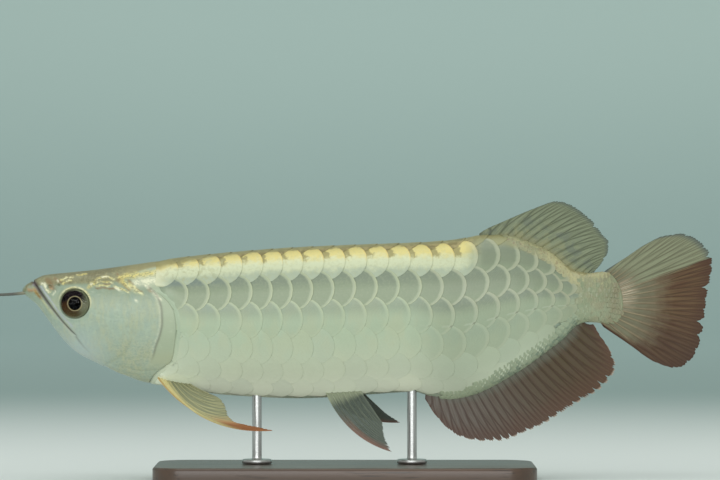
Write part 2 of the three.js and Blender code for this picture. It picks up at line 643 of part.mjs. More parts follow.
add("head", head, HEAD_FINISH);
add("lower_jaw", jaw, JAW_FINISH);
["trunk_front", "trunk_middle", "trunk_rear", "tail_stalk"].forEach((name, i) =>
  add(name, trunk[i], SCALE_FINISH));
add("dorsal_fin", rooted(dorsal, DORSAL_RAYS, 4), OLIVE_FIN);
add("anal_fin", rooted(anal, ANAL_RAYS, 4), RED_FIN);
add("caudal_fin", tailFin, RED_FIN);
const SIDES = [
  ["left", -1, PECTORAL_LEFT_TIPS, PECTORAL_LEFT_BOW, PELVIC_LEFT_TIPS],
  ["right", 1, PECTORAL_RIGHT_TIPS, PECTORAL_RIGHT_BOW, PELVIC_RIGHT_TIPS],
];
SIDES.forEach(([name, side, pectoralTips, pectoralBow, pelvicTips]) => {
  const pectoral = pairedFin(pectoralTips, PECTORAL_ROOTS, pectoralBow, side);
  const pelvic = pairedFin(pelvicTips, PELVIC_ROOTS, PELVIC_BOW, side);
  add("gill_cover_" + name, largest(gillCovers.intersect(half(side))), PLATE_FINISH);
  add("eye_" + name, eyeball(side, 0), EYE_FINISH);
  add("barbel_" + name, barbel(side), BARBEL_FINISH);
  add("pectoral_fin_" + name, rooted(pectoral, PECTORAL_RAYS, 7), CLEAR_FIN);
  add("pelvic_fin_" + name, rooted(pelvic, PELVIC_RAYS, 5), CLEAR_FIN);
});
add("stand_base", standBase(), WOOD);
["front", "rear"].forEach((name, i) => add("stand_rod_" + name, standRod(ROD_X[i]), STEEL));

export default arowana;
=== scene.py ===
"""A life-size Asian arowana on a plain display stand: skin, scales, fins, eyes, barbels and the stand.

Shapes are worked out in millimetres and put down in metres, +Z up. The head points to -X, and the fish's
left side faces -Y. The middle plane of the fish bends gently sideways in a turn.
"""

import math

import bpy
import numpy as np
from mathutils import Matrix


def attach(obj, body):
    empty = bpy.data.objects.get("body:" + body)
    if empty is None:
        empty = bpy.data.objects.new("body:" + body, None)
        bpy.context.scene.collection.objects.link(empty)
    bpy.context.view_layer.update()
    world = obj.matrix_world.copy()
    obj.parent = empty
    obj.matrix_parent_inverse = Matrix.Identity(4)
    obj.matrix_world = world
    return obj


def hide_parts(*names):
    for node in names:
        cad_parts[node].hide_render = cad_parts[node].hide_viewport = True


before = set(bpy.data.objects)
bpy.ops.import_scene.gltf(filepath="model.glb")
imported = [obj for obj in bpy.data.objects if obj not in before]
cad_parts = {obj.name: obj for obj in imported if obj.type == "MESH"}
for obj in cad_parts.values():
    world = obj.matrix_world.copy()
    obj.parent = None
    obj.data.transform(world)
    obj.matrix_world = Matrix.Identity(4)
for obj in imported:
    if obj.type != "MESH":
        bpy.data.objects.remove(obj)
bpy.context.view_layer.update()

MM = 0.001
CHANCE = 20

# The fish from the snout to the tail: its back and belly as (x, z), and half its width. Then the widest
# place's share of the height, how deep the crown's olive reaches, and the powers of the cross-section above
# and below.
SNOUT_X = -161
BACK = [
    (-161, 95.1), (-160, 97.2), (-157.5, 98.9), (-155, 100.4), (-150, 102.5), (-139, 103.7),
    (-124.5, 105.2), (-104.5, 107.9), (-80.5, 111.3), (-56.5, 113.8), (-24.5, 116.2), (7.5, 117.6),
    (39.5, 118.8), (57, 120.3), (67.5, 122.2), (77.5, 122.4), (85, 121.4), (91, 119.2), (102.5, 113.8),
    (108.5, 108.8), (114, 104.5), (120, 103.1), (127.5, 103.7), (135, 105), (142, 106.5),
]
BELLY = [
    (-161, 94.3), (-160, 93.2), (-158, 91.5), (-153.5, 87.6), (-148, 80.2), (-139, 68.8), (-132.5, 63.3),
    (-124.5, 59.2), (-112.5, 53.2), (-100.5, 49), (-82.5, 45.3), (-58.5, 42), (-22.5, 40.4),
    (13.5, 42.4), (35, 43.6), (42, 41.6), (52.5, 40.6), (62.5, 42.3), (81.5, 51.2), (93, 58.6),
    (102.5, 65.6), (110, 71.4), (116, 77.6), (121.5, 79.2), (127.5, 78.8), (142, 74),
]
VENT_FRONT = 14
VENT_REAR = 53
HALF_WIDTH = [
    (-161, 1.2), (-160, 3.2), (-158, 5), (-155, 6.8), (-150, 8.9), (-139, 11.6), (-124.5, 13.6),
    (-104.5, 15.5), (-80.5, 16.7), (-40, 17.6), (0, 17.8), (40, 16.6), (67, 14.4), (85, 12),
    (102.5, 8.8), (114, 6.4), (121.5, 4.8), (128, 3), (134, 1.5), (138, 0.85), (142, 0.6),
]
WIDEST_AT = [(-161, 0.5), (-139, 0.6), (-100, 0.58), (-60, 0.6), (40, 0.62), (110, 0.52), (142, 0.5)]
CROWN_DEEP = [
    (-160, 2), (-150, 5.6), (-140, 6.8), (-130, 7.4), (-122, 8.8), (-112, 8.6), (-106, 5.4), (-98, 3.6),
    (-80, 3),
]
CROWN_POWER = [(-161, 0.9), (-150, 0.66), (-120, 0.64), (-80, 0.7), (0, 0.76), (100, 0.86), (142, 1)]
KEEL_POWER = [(-161, 1), (-139, 0.98), (-100, 1.2), (-40, 1.45), (60, 1.45), (142, 1)]
TAIL_SWING = 8
HEAD_SWING = 2.5

# Scales: rows round each half of the girth, where each lies in it, and the x of each column's hind edges.
ROWS = 7
ROW_SHARE = [(0, 0), (1, 0.189), (2, 0.342), (3, 0.501), (4, 0.661), (5, 0.801), (6, 0.911), (7, 1)]
COLUMN_X = [
    (-5, -130), (0, -77.5), (3, -45.6), (4, -35.6), (6, -15.5), (12, 49.3), (15, 82.5), (18, 108.8),
    (22, 134.8), (24, 146),
]
FIRST_COLUMN = -6
LAST_COLUMN = 46

# Where the head's skin ends at the nape and the gill cover, and the flesh at the tail fin, as (z, x). The
# head's relief fades out over the nape's heights.
NAPE = (92, 96.5)
HEAD_EDGE = [
    (44, -99), (50, -96.5), (54, -93.5), (57.2, -89.5), (60, -86.5), (64.5, -85.2), (70, -84.5),
    (77, -83.9), (83.3, -84.7), (88.1, -87), (92.2, -90.8), (95.8, -95.4), (98.5, -97.3), (115, -98),
]
FLESH_END = [
    (70, 128), (76, 131.5), (79.5, 135.6), (83.5, 138), (88.5, 138.8), (93, 138.2), (97.5, 136.6),
    (101.5, 134), (106, 129), (112, 125),
]
COAT = 0.5
COVER_LIFT = 0.45

# The mouth's cleft, from the top of the snout to its corner, and the lines between the cheek's bones.
MOUTH = [
    (-157.2, 101), (-155.2, 98.6), (-152.9, 95.6), (-150.8, 92.6), (-147.4, 87.9), (-145.2, 85),
    (-141.4, 80.2), (-136.8, 75.2), (-133.8, 72.3),
]
JAW_CREASE = [(-134, 71.8), (-129.5, 66), (-123, 60.8), (-116, 57.5)]
BONE_EDGE = [
    (-97.5, 96.5), (-96.1, 95), (-93, 91.2), (-91.2, 84.7), (-91, 79), (-92.3, 72.5), (-94.2, 67.5),
    (-95.8, 61.8), (-98, 57.5),
]
GILL_SLIT = [(-86.6, 58.8), (-93, 55), (-102, 54.6), (-111, 56.6), (-120, 59), (-127, 62)]
PREOPERCLE = [(-110, 97), (-106.5, 90), (-105.2, 81), (-106.3, 71), (-111, 63), (-118, 58.8)]
CHEEK_SEAMS = [
    [(-126, 84.5), (-117, 81.5), (-106.5, 80.5)], [(-127, 94), (-119, 94.6), (-109, 95.8)],
    [(-132.8, 80), (-130, 74.5), (-127.5, 68.5)],
]
LOWER_PLATE = [(-112, 67.5), (-104, 62.5), (-96, 60.2)]

# The eye and the nostrils.
EYE_X = -134.4
EYE_Z = 88.4
EYE_RADIUS = 7.1
PUPIL_RADIUS = 3.15
RING_RADIUS = 3.6
NOSTRIL = (-147.3, 96.8)
REAR_NOSTRIL = (-142.6, 97.6)


# Numbers along the body.


class Through:
    """A curve through (x, value) pairs in cubic pieces that never overshoot the pairs: the slope at a
    pair is the harmonic mean of the steps before and after it, or none where they turn back."""

    def __init__(self, pairs):
        self.x, self.v = np.array(pairs, float).T
        step = np.diff(self.v) / np.diff(self.x)
        before = np.append(step[:1], step)
        after = np.append(step, step[-1:])
        same = before * after > 0
        self.slope = np.where(same, 2 * before * after / np.where(same, before + after, 1), 0)

    def __call__(self, x):
        i = np.clip(np.searchsorted(self.x, x, side="right") - 1, 0, len(self.x) - 2)
        w = self.x[i + 1] - self.x[i]
        t = np.clip((x - self.x[i]) / w, 0, 1)
        u = 1 - t
        ends = self.v[i] * u * u * (1 + 2 * t) + self.v[i + 1] * t * t * (3 - 2 * t)
        return ends + w * (self.slope[i] * t * u * u - self.slope[i + 1] * t * t * u)


back = Through(BACK)
belly = Through(BELLY)
flank_foot = Through([p for p in BELLY if not VENT_FRONT < p[0] < VENT_REAR])
half_width = Through(HALF_WIDTH)
widest_at = Through(WIDEST_AT)
crown_deep = Through(CROWN_DEEP)
crown_power = Through(CROWN_POWER)
keel_power = Through(KEEL_POWER)
row_share = Through(ROW_SHARE)
column_x = Through(COLUMN_X)
head_edge = Through(HEAD_EDGE)
flesh_end = Through(FLESH_END)


def lerp(a, b, t):
    return a + (b - a) * t


def smooth(value, low, high):
    """0 below low and 1 above high, easing in and out between them."""
    t = np.clip((value - low) / (high - low), 0, 1)
    return t * t * (3 - 2 * t)


def bell(distance, width):
    """1 at no distance, falling off as a bell of that width."""
    return np.exp(-((distance / width) ** 2))


def unit(vectors):
    return vectors / np.maximum(np.linalg.norm(vectors, axis=-1, keepdims=True), 1e-9)


def swing(x):
    """How far the middle plane is carried sideways at x: the square of the way to the tail or snout."""
    return np.where(x > 0, TAIL_SWING * (x / 185) ** 2, HEAD_SWING * (x / 161) ** 2)


def width_at(x, z):
    """Half the body's width at x and height z: the cross-section's cosine is turned into its sine."""
    top, bottom = back(x), flank_foot(x)
    wide = lerp(bottom, top, widest_at(x))
    above = z >= wide
    c = np.clip(np.where(above, (z - wide) / (top - wide), (wide - z) / (wide - bottom)), 0, 1)
    c = np.where(above, c ** (1 / crown_power(x)), c)
    return half_width(x) * np.sqrt(1 - c * c) ** np.where(above, crown_power(x), keel_power(x))


# The body's cross-sections, tabled by x and by the share of half the girth from the back to the keel.
SHARES = 400
SECTION_POINTS = 1201
CROWDING = 1.6
VENT_POWER = 20
TABLE_X = np.concatenate([np.linspace(-161, -157, 41), np.linspace(-156.5, 146, 606)])


def section_table():
    """Each cross-section is y = half width * sine ** power, and z = the widest height plus the rest of
    the height * cosine ** power above it, or * cosine below it. The vent's notch only shows near the
    keel, by a high power of the cosine. Each section is then spaced evenly along its own length, which
    is the last thing handed back."""
    x = TABLE_X[:, None]
    angle = math.pi * np.linspace(0, 1, SECTION_POINTS) ** CROWDING
    c, s = np.cos(angle), np.maximum(np.sin(angle), 0)
    top, bottom = back(x), belly(x)
    foot = flank_foot(x)
    wide = lerp(foot, top, widest_at(x))
    y = half_width(x) * s ** np.where(c >= 0, crown_power(x), keel_power(x))
    below = (wide - foot) * c + (bottom - foot) * np.abs(c) ** VENT_POWER
    z = wide + np.where(c >= 0, (top - wide) * np.abs(c) ** crown_power(x), below)
    pieces = np.hypot(np.diff(y), np.diff(z))
    reached = np.pad(np.cumsum(pieces, 1), ((0, 0), (1, 0)))
    girths = reached[:, -1]
    row = 2 * np.arange(len(TABLE_X))[:, None]
    want = (row + np.linspace(0, 1, SHARES + 1)).ravel()
    keys = (row + reached / girths[:, None]).ravel()
    return *(np.interp(want, keys, v.ravel()).reshape(len(TABLE_X), -1) for v in (y, z)), girths


TABLE_Y, TABLE_Z, HALF_GIRTHS = section_table()


def half_girth(x):
    """The way round from the back to the keel at x."""
    return np.interp(x, TABLE_X, HALF_GIRTHS)


def bare(x, turn):
    """A point of the smooth body at x, with turn 0 on the back, 1 on the keel and 2 on the back
    again."""
    turn = turn % 2
    side = np.where(turn > 1, 1, -1)
    share = np.where(turn > 1, 2 - turn, turn) * SHARES
    i = np.clip(np.searchsorted(TABLE_X, x) - 1, 0, len(TABLE_X) - 2)
    j = np.minimum(share.astype(int), SHARES - 1)
    u = np.clip((x - TABLE_X[i]) / (TABLE_X[i + 1] - TABLE_X[i]), 0, 1)
    v = share - j
    y, z = (lerp(lerp(t[i, j], t[i + 1, j], u), lerp(t[i, j + 1], t[i + 1, j + 1], u), v)
            for t in (TABLE_Y, TABLE_Z))
    return np.stack([x + 0 * y, side * y + swing(x), z], -1)


def lifted(x, turn, lift):
    """The same point moved out along the surface's normal, which is the cross product of the way round
    and the way along."""
    x, turn, lift = np.broadcast_arrays(np.asarray(x, float), turn, lift)
    along = bare(x + 0.5, turn) - bare(x - 0.5, turn)
    round_it = bare(x, turn + 0.01) - bare(x, turn - 0.01)
    return bare(x, turn) + unit(np.cross(round_it, along)) * lift[..., None]


def turn_of(row):
    """The turn of a row of scales: 0 on the back, ROWS on the keel and 2 * ROWS on the back again."""
    row = row % (2 * ROWS)
    return np.where(row > ROWS, 2 - row_share(2 * ROWS - row), row_share(row))


STROKE_PIECES = 24


def stroke(x, z, path):
    """Signed distance from (x, z) to a bent line, positive on its left, and how far along it the nearest
    place is. The line is drawn in short straight pieces through the path's points."""
    knots = np.arange(len(path))
    want = np.linspace(0, len(path) - 1, STROKE_PIECES + 1)
    px, pz = (Through(list(zip(knots, v)))(want) for v in np.array(path, float).T)
    best = np.full(np.shape(x), np.inf)
    side = np.ones(np.shape(x))
    along = np.zeros(np.shape(x))
    for k in range(STROKE_PIECES):
        dx, dz = px[k + 1] - px[k], pz[k + 1] - pz[k]
        t = np.clip(((x - px[k]) * dx + (z - pz[k]) * dz) / (dx * dx + dz * dz), 0, 1)
        off_x, off_z = x - px[k] - t * dx, z - pz[k] - t * dz
        distance = np.hypot(off_x, off_z)
        nearer = distance < best
        best = np.where(nearer, distance, best)
        side = np.where(nearer, np.where(dx * off_z - dz * off_x < 0, -1, 1), side)
        along = np.where(nearer, (k + t) / STROKE_PIECES, along)
    return best * side, along


# Meshes.


def grid_faces(rows, columns, closed=False):
    """The four-sided faces of a grid of points, whose last column joins its first if it is closed."""
    i = np.arange(rows - 1)[:, None] * columns
    j = np.arange(columns if closed else columns - 1)
    a, b = i + j, i + (j + 1) % columns
    return np.stack([a, b, b + columns, a + columns], -1).reshape(-1, 4)


def tube_faces(rings, count):
    """The faces of rings of points joined into a tube, with a cap at both ends."""
    end = np.arange(count)
    return [*grid_faces(rings, count, closed=True), end[::-1], (rings - 1) * count + end]


def piece(name, points, faces, paint, nodes=(), values=None, bake=None):
    """Puts points and faces into a mesh with a number per point for each name in values, and a bake map
    given per point. A face over the map's seam keeps to its upper side. The piece rides on the stand's
    one body."""
    mesh = bpy.data.meshes.new(name)
    places = np.reshape(points, (-1, 3)) * MM
    mesh.from_pydata(places.tolist(), [], [list(map(int, face)) for face in faces])
    for key, numbers in (values or {}).items():
        attribute = mesh.attributes.new(key, "FLOAT", "POINT")
        attribute.data.foreach_set("value", np.ascontiguousarray(numbers, np.float32).ravel())
    if bake is not None:
        corner = np.empty(len(mesh.loops), np.int32)
        mesh.loops.foreach_get("vertex_index", corner)
        start = np.empty(len(mesh.polygons), np.int32)
        mesh.polygons.foreach_get("loop_start", start)
        uv = np.reshape(bake, (-1, 2))[corner]
        face = np.searchsorted(start, np.arange(len(corner)), side="right") - 1
        highest = np.maximum.reduceat(uv[:, 1], start)[face]
        uv[:, 1] += np.where(highest - uv[:, 1] > 0.5, 1, 0)
        uv[:, 1] = np.minimum(uv[:, 1], 0.9999)
        mesh.uv_layers.new(name="OFBake").data.foreach_set("uv", uv.astype(np.float32).ravel())
    mesh.polygons.foreach_set("use_smooth", np.ones(len(mesh.polygons), bool))
    mesh.materials.append(paint)
    made = bpy.data.objects.new(name, mesh)
    bpy.context.scene.collection.objects.link(made)
    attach(made, "root")
    if nodes:
        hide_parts(*nodes)
    return made


# Materials.


def screen(red, green, blue):
    """A colour given as it looks on a screen, from 0 to 255, as the shaders' own numbers."""
    part = np.array([red, green, blue]) / 255
    return tuple(np.where(part <= 0.04045, part / 12.92, ((part + 0.055) / 1.055) ** 2.4).tolist())


class Value:
    """A socket whose arithmetic adds Math nodes to its material, and whose mixing adds Mix nodes."""

    def __init__(self, finish, socket):
        self.finish = finish
        self.socket = socket

    def math(self, operation, *terms):
        return self.finish.node("ShaderNodeMath", {"operation": operation}, dict(enumerate(terms)))

    def __add__(self, other):
        return self.math("ADD", self, other)

    def __sub__(self, other):
        return self.math("SUBTRACT", self, other)

    def __rsub__(self, other):
        return self.math("SUBTRACT", other, self)

    def __mul__(self, other):
        return self.math("MULTIPLY", self, other)

    def __truediv__(self, other):
        return self.math("DIVIDE", self, other)

    __radd__ = __add__
    __rmul__ = __mul__

    def sine(self):
        return self.math("SINE", self)

    def size(self):
        return self.math("ABSOLUTE", self)

    def least(self, other):
        return self.math("MINIMUM", self, other)

    def ease(self, low, high):
        """0 below low and 1 above high, easing in and out between them."""
        return self.finish.node("ShaderNodeMapRange", {"interpolation_type": "SMOOTHSTEP"}, {
            "Value": self, "From Min": low, "From Max": high, "To Min": 0.0, "To Max": 1.0})

    def mix(self, a, b):
        """Colour a turning into colour b as this goes from 0 to 1."""
        return self.finish.node("ShaderNodeMix", {"data_type": "RGBA"}, {0: self, 6: a, 7: b}, 2)

    def coated(self, *coats):
        """This colour under coats of others, each as strong as its factor."""
        colour = self
        for factor, coat in coats:
            colour = factor.mix(colour, coat)
        return colour


class Finish:
    """A material built on one Principled shader. Its colours are given as they look on a screen."""

    def __init__(self, name, **constants):
        self.material = bpy.data.materials.new(name)
        self.material.use_nodes = True
        self.tree = self.material.node_tree
        self.shader = self.tree.nodes["Principled BSDF"]
        self.set(**constants)

    def set(self, **sockets):
        """Fills the shader's sockets, whose names have underscores here for their spaces."""
        for key, value in sockets.items():
            self.fill(self.shader.inputs[key.replace("_", " ")], value)

    def finished(self, base, rough, height, depth, **sockets):
        """The material, with its colour, its roughness and a bump of that height and depth."""
        self.set(Base_Color=base, Roughness=rough, Normal=self.bump(height, depth), **sockets)
        return self.material

    def fill(self, socket, value):
        if isinstance(value, Value):
            self.tree.links.new(value.socket, socket)
        elif socket.type == "RGBA":
            socket.default_value = (*screen(*value), 1)
        else:
            socket.default_value = value

    def node(self, kind, settings, inputs, output=0):
        """Adds a node, with its settings first and then the values or links of its sockets."""
        made = self.tree.nodes.new(kind)
        for key, value in settings.items():
            setattr(made, key, value)
        for key, value in inputs.items():
            self.fill(made.inputs[key], value)
        return Value(self, made.outputs[output])

    def numbers(self, *names):
        """Numbers that the mesh keeps for each of its points."""
        return [self.node("ShaderNodeAttribute", {"attribute_name": name}, {}, "Fac") for name in names]

    def here(self):
        """The point's own place on the object."""
        return self.node("ShaderNodeTexCoord", {}, {}, "Object")

    def axis(self, name):
        return self.node("ShaderNodeSeparateXYZ", {}, {"Vector": self.here()}, name)

    def noise(self, scale, detail=3, stretch=(1, 1, 1)):
        """Soft noise of that many patches per metre, stretched along each axis."""
        place = self.node("ShaderNodeMapping", {}, {"Vector": self.here(), "Scale": stretch})
        return self.node("ShaderNodeTexNoise", {}, {
            "Vector": place, "Scale": scale, "Detail": detail, "Roughness": 0.55})

    def bump(self, height, depth):
        """A normal from a height of 0 to 1 that stands for that depth in millimetres."""
        return self.node("ShaderNodeBump", {}, {
            "Height": height, "Strength": 1.0, "Distance": depth * MM}, "Normal")


# The skin.

SNOUT_RINGS = 210
TRUNK_RINGS = 110
MARKED_RINGS = 30
ROUND = 264
MAP_START = -165
MAP_LONG = 310


def head_relief(x, z):
    """How far the head's skin stands out from the smooth body at (x, z), as a sum of bells of the
    distance to each line and point: lips as two ridges beside the mouth's cleft, a bowl for the eye,
    pits for the nostrils and pores, fine furrows between the cheek's bones and under the jaw, and the
    gill cover's bone raised over its soft hind border."""
    mouth, along = stroke(x, z, MOUTH)
    lift = -0.85 * bell(mouth, 0.42) * smooth(z, 70, 74) * (1 - 0.5 * along)
    lips = bell(mouth - 1.1, 0.8) + 0.9 * bell(mouth + 1.1, 0.8)
    lift += 0.3 * lips * (1 - 0.7 * along) * smooth(along, 0.15, 0.3)
    crease, fade = stroke(x, z, JAW_CREASE)
    lift -= 0.2 * bell(crease, 0.55) * (1 - 0.9 * fade)
    for seam in CHEEK_SEAMS:
        lift -= 0.07 * bell(stroke(x, z, seam)[0], 0.6)
    ridge, _ = stroke(x, z, PREOPERCLE)
    lift += 0.1 * bell(ridge + 0.9, 1.1) - 0.1 * bell(ridge - 0.6, 0.6)
    cover = smooth(-ridge, -1.5, 3) * smooth(z, 54, 58) * (1 - smooth(z, 95.5, 97.5))
    bone, _ = stroke(x, z, BONE_EDGE)
    bony = smooth(-bone, -0.15, 0.6)
    lift += cover * (COVER_LIFT * bony + 0.12 * (1 - bony))
    lift -= 0.07 * bell(stroke(x, z, LOWER_PLATE)[0], 0.5)
    slit, _ = stroke(x, z, GILL_SLIT)
    lift -= 0.25 * bell(slit, 0.5) * smooth(-x, 86, 89)
    for k in range(6):
        path = [(-126 + 3 * k, 57.5 - 1.1 * k), (-112 + 2 * k, 52.5 - 0.5 * k), (-97, 53 - k)]
        lift -= 0.05 * bell(stroke(x, z, path)[0], 0.4)
    eye = np.hypot(x - EYE_X, z - EYE_Z)
    lift -= 3.8 * (1 - smooth(eye, EYE_RADIUS + 0.05, EYE_RADIUS + 0.5))
    lift += 0.22 * bell(eye - EYE_RADIUS - 0.9, 0.6) - 0.1 * bell(eye - EYE_RADIUS - 2.6, 0.6)
    for (nx, nz), radius in ((NOSTRIL, 1.0), (REAR_NOSTRIL, 0.7)):
        pit = np.hypot(x - nx, (z - nz) * 1.3)
        lift += 0.2 * bell(pit - radius - 0.45, 0.35)
        lift -= 0.9 * (1 - smooth(pit, radius * 0.5, radius + 0.2))
    pores = [(-107.2 - 0.09 * (k - 4) ** 2, 62 + 3.6 * k) for k in range(9)]
    pores += [(-130 + 3.2 * k, 77.5 - 1.3 * k) for k in range(6)]
    for px, pz in pores:
        lift -= 0.2 * bell(np.hypot(x - px, z - pz), 0.4)
    return lift


# Strokes of colour on the head: each is its width, and then the x and z of each of its points.
STROKES = {
    "gold": [
        (0.9, -127.4, 96.8, -124.6, 98.4), (0.5, -124.4, 100, -119.4, 101.7, -114.4, 100.6),
        (0.35, -123.4, 98.9, -119.6, 99.4, -115.8, 98.5), (0.4, -123, 97.3, -116.8, 97.3),
        (0.5, -114.6, 97, -111.4, 95.8, -107.4, 93.8), (0.9, -112.5, 101.4, -109.4, 102.2),
        (1.3, -110.6, 99.4, -107.4, 97.4, -104.6, 96.4),
        (1.5, -107.5, 102, -103, 102.6, -96, 103.4, -88, 104.4), (0.8, -104, 94.6, -101, 93.6),
        (0.5, -141.2, 100.2, -138.6, 101.2, -135.6, 101.6),
        (0.45, -140.6, 98.2, -138.4, 99.4, -136.2, 100.2), (0.45, -148.4, 95.6, -147, 94.2),
        (0.35, -134, 102.6, -129, 103), (0.5, -154.4, 94.2, -153, 92.6),
    ],
    "brown": [
        (1.5, -147.8, 99.8, -146.2, 98, -145.4, 96.2), (0.8, -144.8, 100.6, -141.6, 99.2),
        (0.5, -124, 96.2, -119.6, 96.2, -114, 95.6), (0.8, -112.2, 99.8, -109.4, 97.6, -107, 95.4),
        (0.7, -107.6, 99.8, -105.2, 98.2), (0.8, -97.6, 95.4, -96.6, 94.6),
        (0.7, -113.4, 103, -112, 101), (0.4, -120, 98.2, -116.4, 98),
        (0.45, -106, 96.8, -103, 95.4, -100.6, 94.6),
    ],
    "rust": [
        (0.9, -154.8, 95.4, -153.4, 93.4, -151.8, 91.6), (0.6, -147.2, 96.2, -146.4, 95.6),
        (0.9, -158, 95.2, -156.2, 94.6),
    ],
    "bright": [
        (0.75, -151, 98.5, -149.8, 98), (0.4, -149.7, 97.6, -148.8, 95.8, -147.2, 94.2),
        (0.55, -143.2, 99.4, -142.9, 99.4), (0.5, -126.6, 97.6, -125.4, 98.2),
        (0.35, -121, 101.8, -117.6, 101.5), (0.5, -96, 95.4, -93.8, 92.6, -91.6, 90.2),
        # The wide bright stroke over the nape carries on the gold row's pale silver, partly a painted
        # reflection.
        (0.6, -104.2, 90.1, -103.4, 90), (1.9, -103.6, 99, -98, 99.6, -88, 100.6),
        (0.9, -99, 97.2, -97.4, 97), (0.3, -144.4, 94.6, -145.4, 92.6), (0.5, -114.2, 96.2, -112, 95.2),
    ],
    "lilac": [
        (0.6, -156, 97.6, -154.8, 98.4), (0.7, -151, 96.4, -149.4, 93.6, -147.6, 91),
        (0.45, -147.6, 91, -141.4, 83.2, -135.6, 76.8),
    ],
    "olive": [
        (0.8, -160.2, 94.8, -158.6, 97, -155.6, 98.8), (0.5, -148.6, 98.8, -147.6, 97),
    ],
}


MARKS = (*STROKES, "dark", "cover", "past")


def head_marks(x, z):
    """Where the head is gold, brown, rust, bright, lilac, olive and dark, from 0 to 1: bells of the
    distance to the strokes' lines, which wander by sums of sines. Dark is painted shade in the mouth's
    cleft, partly the lips' own dark colour, painted shade in the jaw's crease, and a painted shadow under
    the gill cover's bone edge."""
    wavy_x = x + 0.3 * np.sin(1.1 * z + 0.9 * x) + 0.15 * np.sin(3.1 * x - 2 * z)
    wavy_z = z + 0.24 * np.sin(1.2 * x + 0.7 * z) + 0.12 * np.sin(3.3 * x + 3 * z + 1)
    gold, brown, rust, bright, lilac, olive = (
        sum(bell(stroke(wavy_x, wavy_z, np.reshape(path, (-1, 2)))[0], width) for width, *path in strokes)
        for strokes in STROKES.values())
    below_crown = back(x) - z
    deep = crown_deep(x)
    olive += (1 - smooth(below_crown, 0.72 * deep, deep)) * smooth(x, -158, -154)
    eye = np.hypot(x - EYE_X, z - EYE_Z)
    mouth, along = stroke(x, z, MOUTH)
    arc = bell(eye - EYE_RADIUS - 0.9, 0.5) * smooth(z - EYE_Z + 0.3 * (x - EYE_X), -2, 5)
    # Dark in the mouth's cleft: partly the lips' own dark colour, partly painted shade in the cleft.
    dark = bell(mouth - 0.1, 1.25 - 0.8 * along) * (1 - 0.35 * along) * smooth(z, 71.5, 74)
    crease, fade = stroke(x, z, JAW_CREASE)
    # Painted shade in the jaw's crease.
    dark = np.maximum(dark, 0.4 * bell(crease, 0.5) * (1 - smooth(fade, 0, 0.6)))
    gold += 0.5 * bell(mouth + 1.6, 0.6) * smooth(along, 0.12, 0.24) * (1 - smooth(along, 0.4, 0.8))
    gill = stroke(x, z, BONE_EDGE)[0]
    # Painted shadow under the gill cover's raised bone edge.
    dark = np.maximum(dark, 0.5 * bell(gill - 0.35, 0.55) * smooth(z, 58, 66))
    bright += 0.3 * bell(gill + 0.7, 0.6) * smooth(z, 60, 70)
    marks = (gold + 0.9 * arc, brown, rust, bright + 0.35 * arc, lilac, olive, dark)
    return [np.clip(v, 0, 1) for v in marks]


def make_skin(paint):
    """The whole body as one surface: rings of points from the snout to the tail fin. The head's rings
    end on the nape and the gill cover's hind edge, where a step drops to the skin that lies under the
    scales. The relief and the step fade out on the nape. The last rings close in on the middle plane as
    a quarter round. The skin behind the gill cover is marked as past the head."""
    turn = np.arange(ROUND) * 2 / ROUND
    edge = head_edge(bare(np.full(ROUND, -90.0), turn)[:, 2])
    end = flesh_end(bare(np.full(ROUND, 132.0), turn)[:, 2])
    reach = np.linspace(0, 1, SNOUT_RINGS)[:, None] ** 1.25
    head_x = lerp(SNOUT_X, edge, reach)
    head_z = bare(head_x, turn)[..., 2]
    relief = head_relief(head_x, head_z) * (1 - smooth(head_x - edge, -4, 0) * smooth(head_z, *NAPE))
    head = lifted(head_x, turn, relief)
    nape = smooth(head_z[-1], *NAPE)
    under = np.array([0.04, 0.35, 1.2])[:, None]
    drop = np.array([-0.3, -0.4, -0.1 * COAT])[:, None]
    step = lifted(edge + under, turn, drop * (1 - nape))
    trunk_x = lerp(edge + 1.2, end, np.linspace(0, 1, TRUNK_RINGS)[1:, None])
    sunk = COAT * lerp(0.1 * (1 - nape), 1, smooth(trunk_x - edge, 1, 10))
    trunk = lifted(trunk_x, turn, -sunk * np.minimum(half_width(trunk_x) / 5, 1))
    angle = np.linspace(0, math.pi / 2, 7)[1:, None]
    last_x, last_y, last_z = trunk[-1].T
    middle = swing(last_x)
    tip = np.stack([
        last_x + 0.6 * np.sin(angle), middle + (last_y - middle) * np.cos(angle), last_z + 0 * angle], -1)
    rings = np.concatenate([head, step, trunk, tip])
    points = np.concatenate([rings.reshape(-1, 3), [[SNOUT_X - 0.35, swing(SNOUT_X), 92.8]]])
    pole = len(points) - 1
    faces = list(grid_faces(len(rings), ROUND, closed=True))
    faces += [(pole, (j + 1) % ROUND, j) for j in range(ROUND)]
    bake = np.stack(np.broadcast_arrays((rings[..., 0] - MAP_START) / MAP_LONG, turn / 2), -1)
    bake = np.concatenate([bake.reshape(-1, 2), [[0, 0.5]]])
    marked = np.concatenate([head, step, trunk[:MARKED_RINGS]])
    x, z = marked[..., 0], marked[..., 2]
    cover = (1 - smooth(-stroke(x, z, BONE_EDGE)[0], -0.3, 0.3)) * smooth(z, 52, 62)
    past = smooth(x - head_edge(z), 0.05, 0.4) * (1 - smooth(z, 94, 97))
    values = {
        name: np.append(numbers.ravel(), np.zeros(len(points) - x.size))
        for name, numbers in zip(MARKS, [*head_marks(x, z), cover, past])}
    nodes = (
        "head", "lower_jaw", "gill_cover_left", "gill_cover_right", "trunk_front", "trunk_middle",
        "trunk_rear", "tail_stalk")
    piece("skin", points, faces, paint, nodes, values, bake)


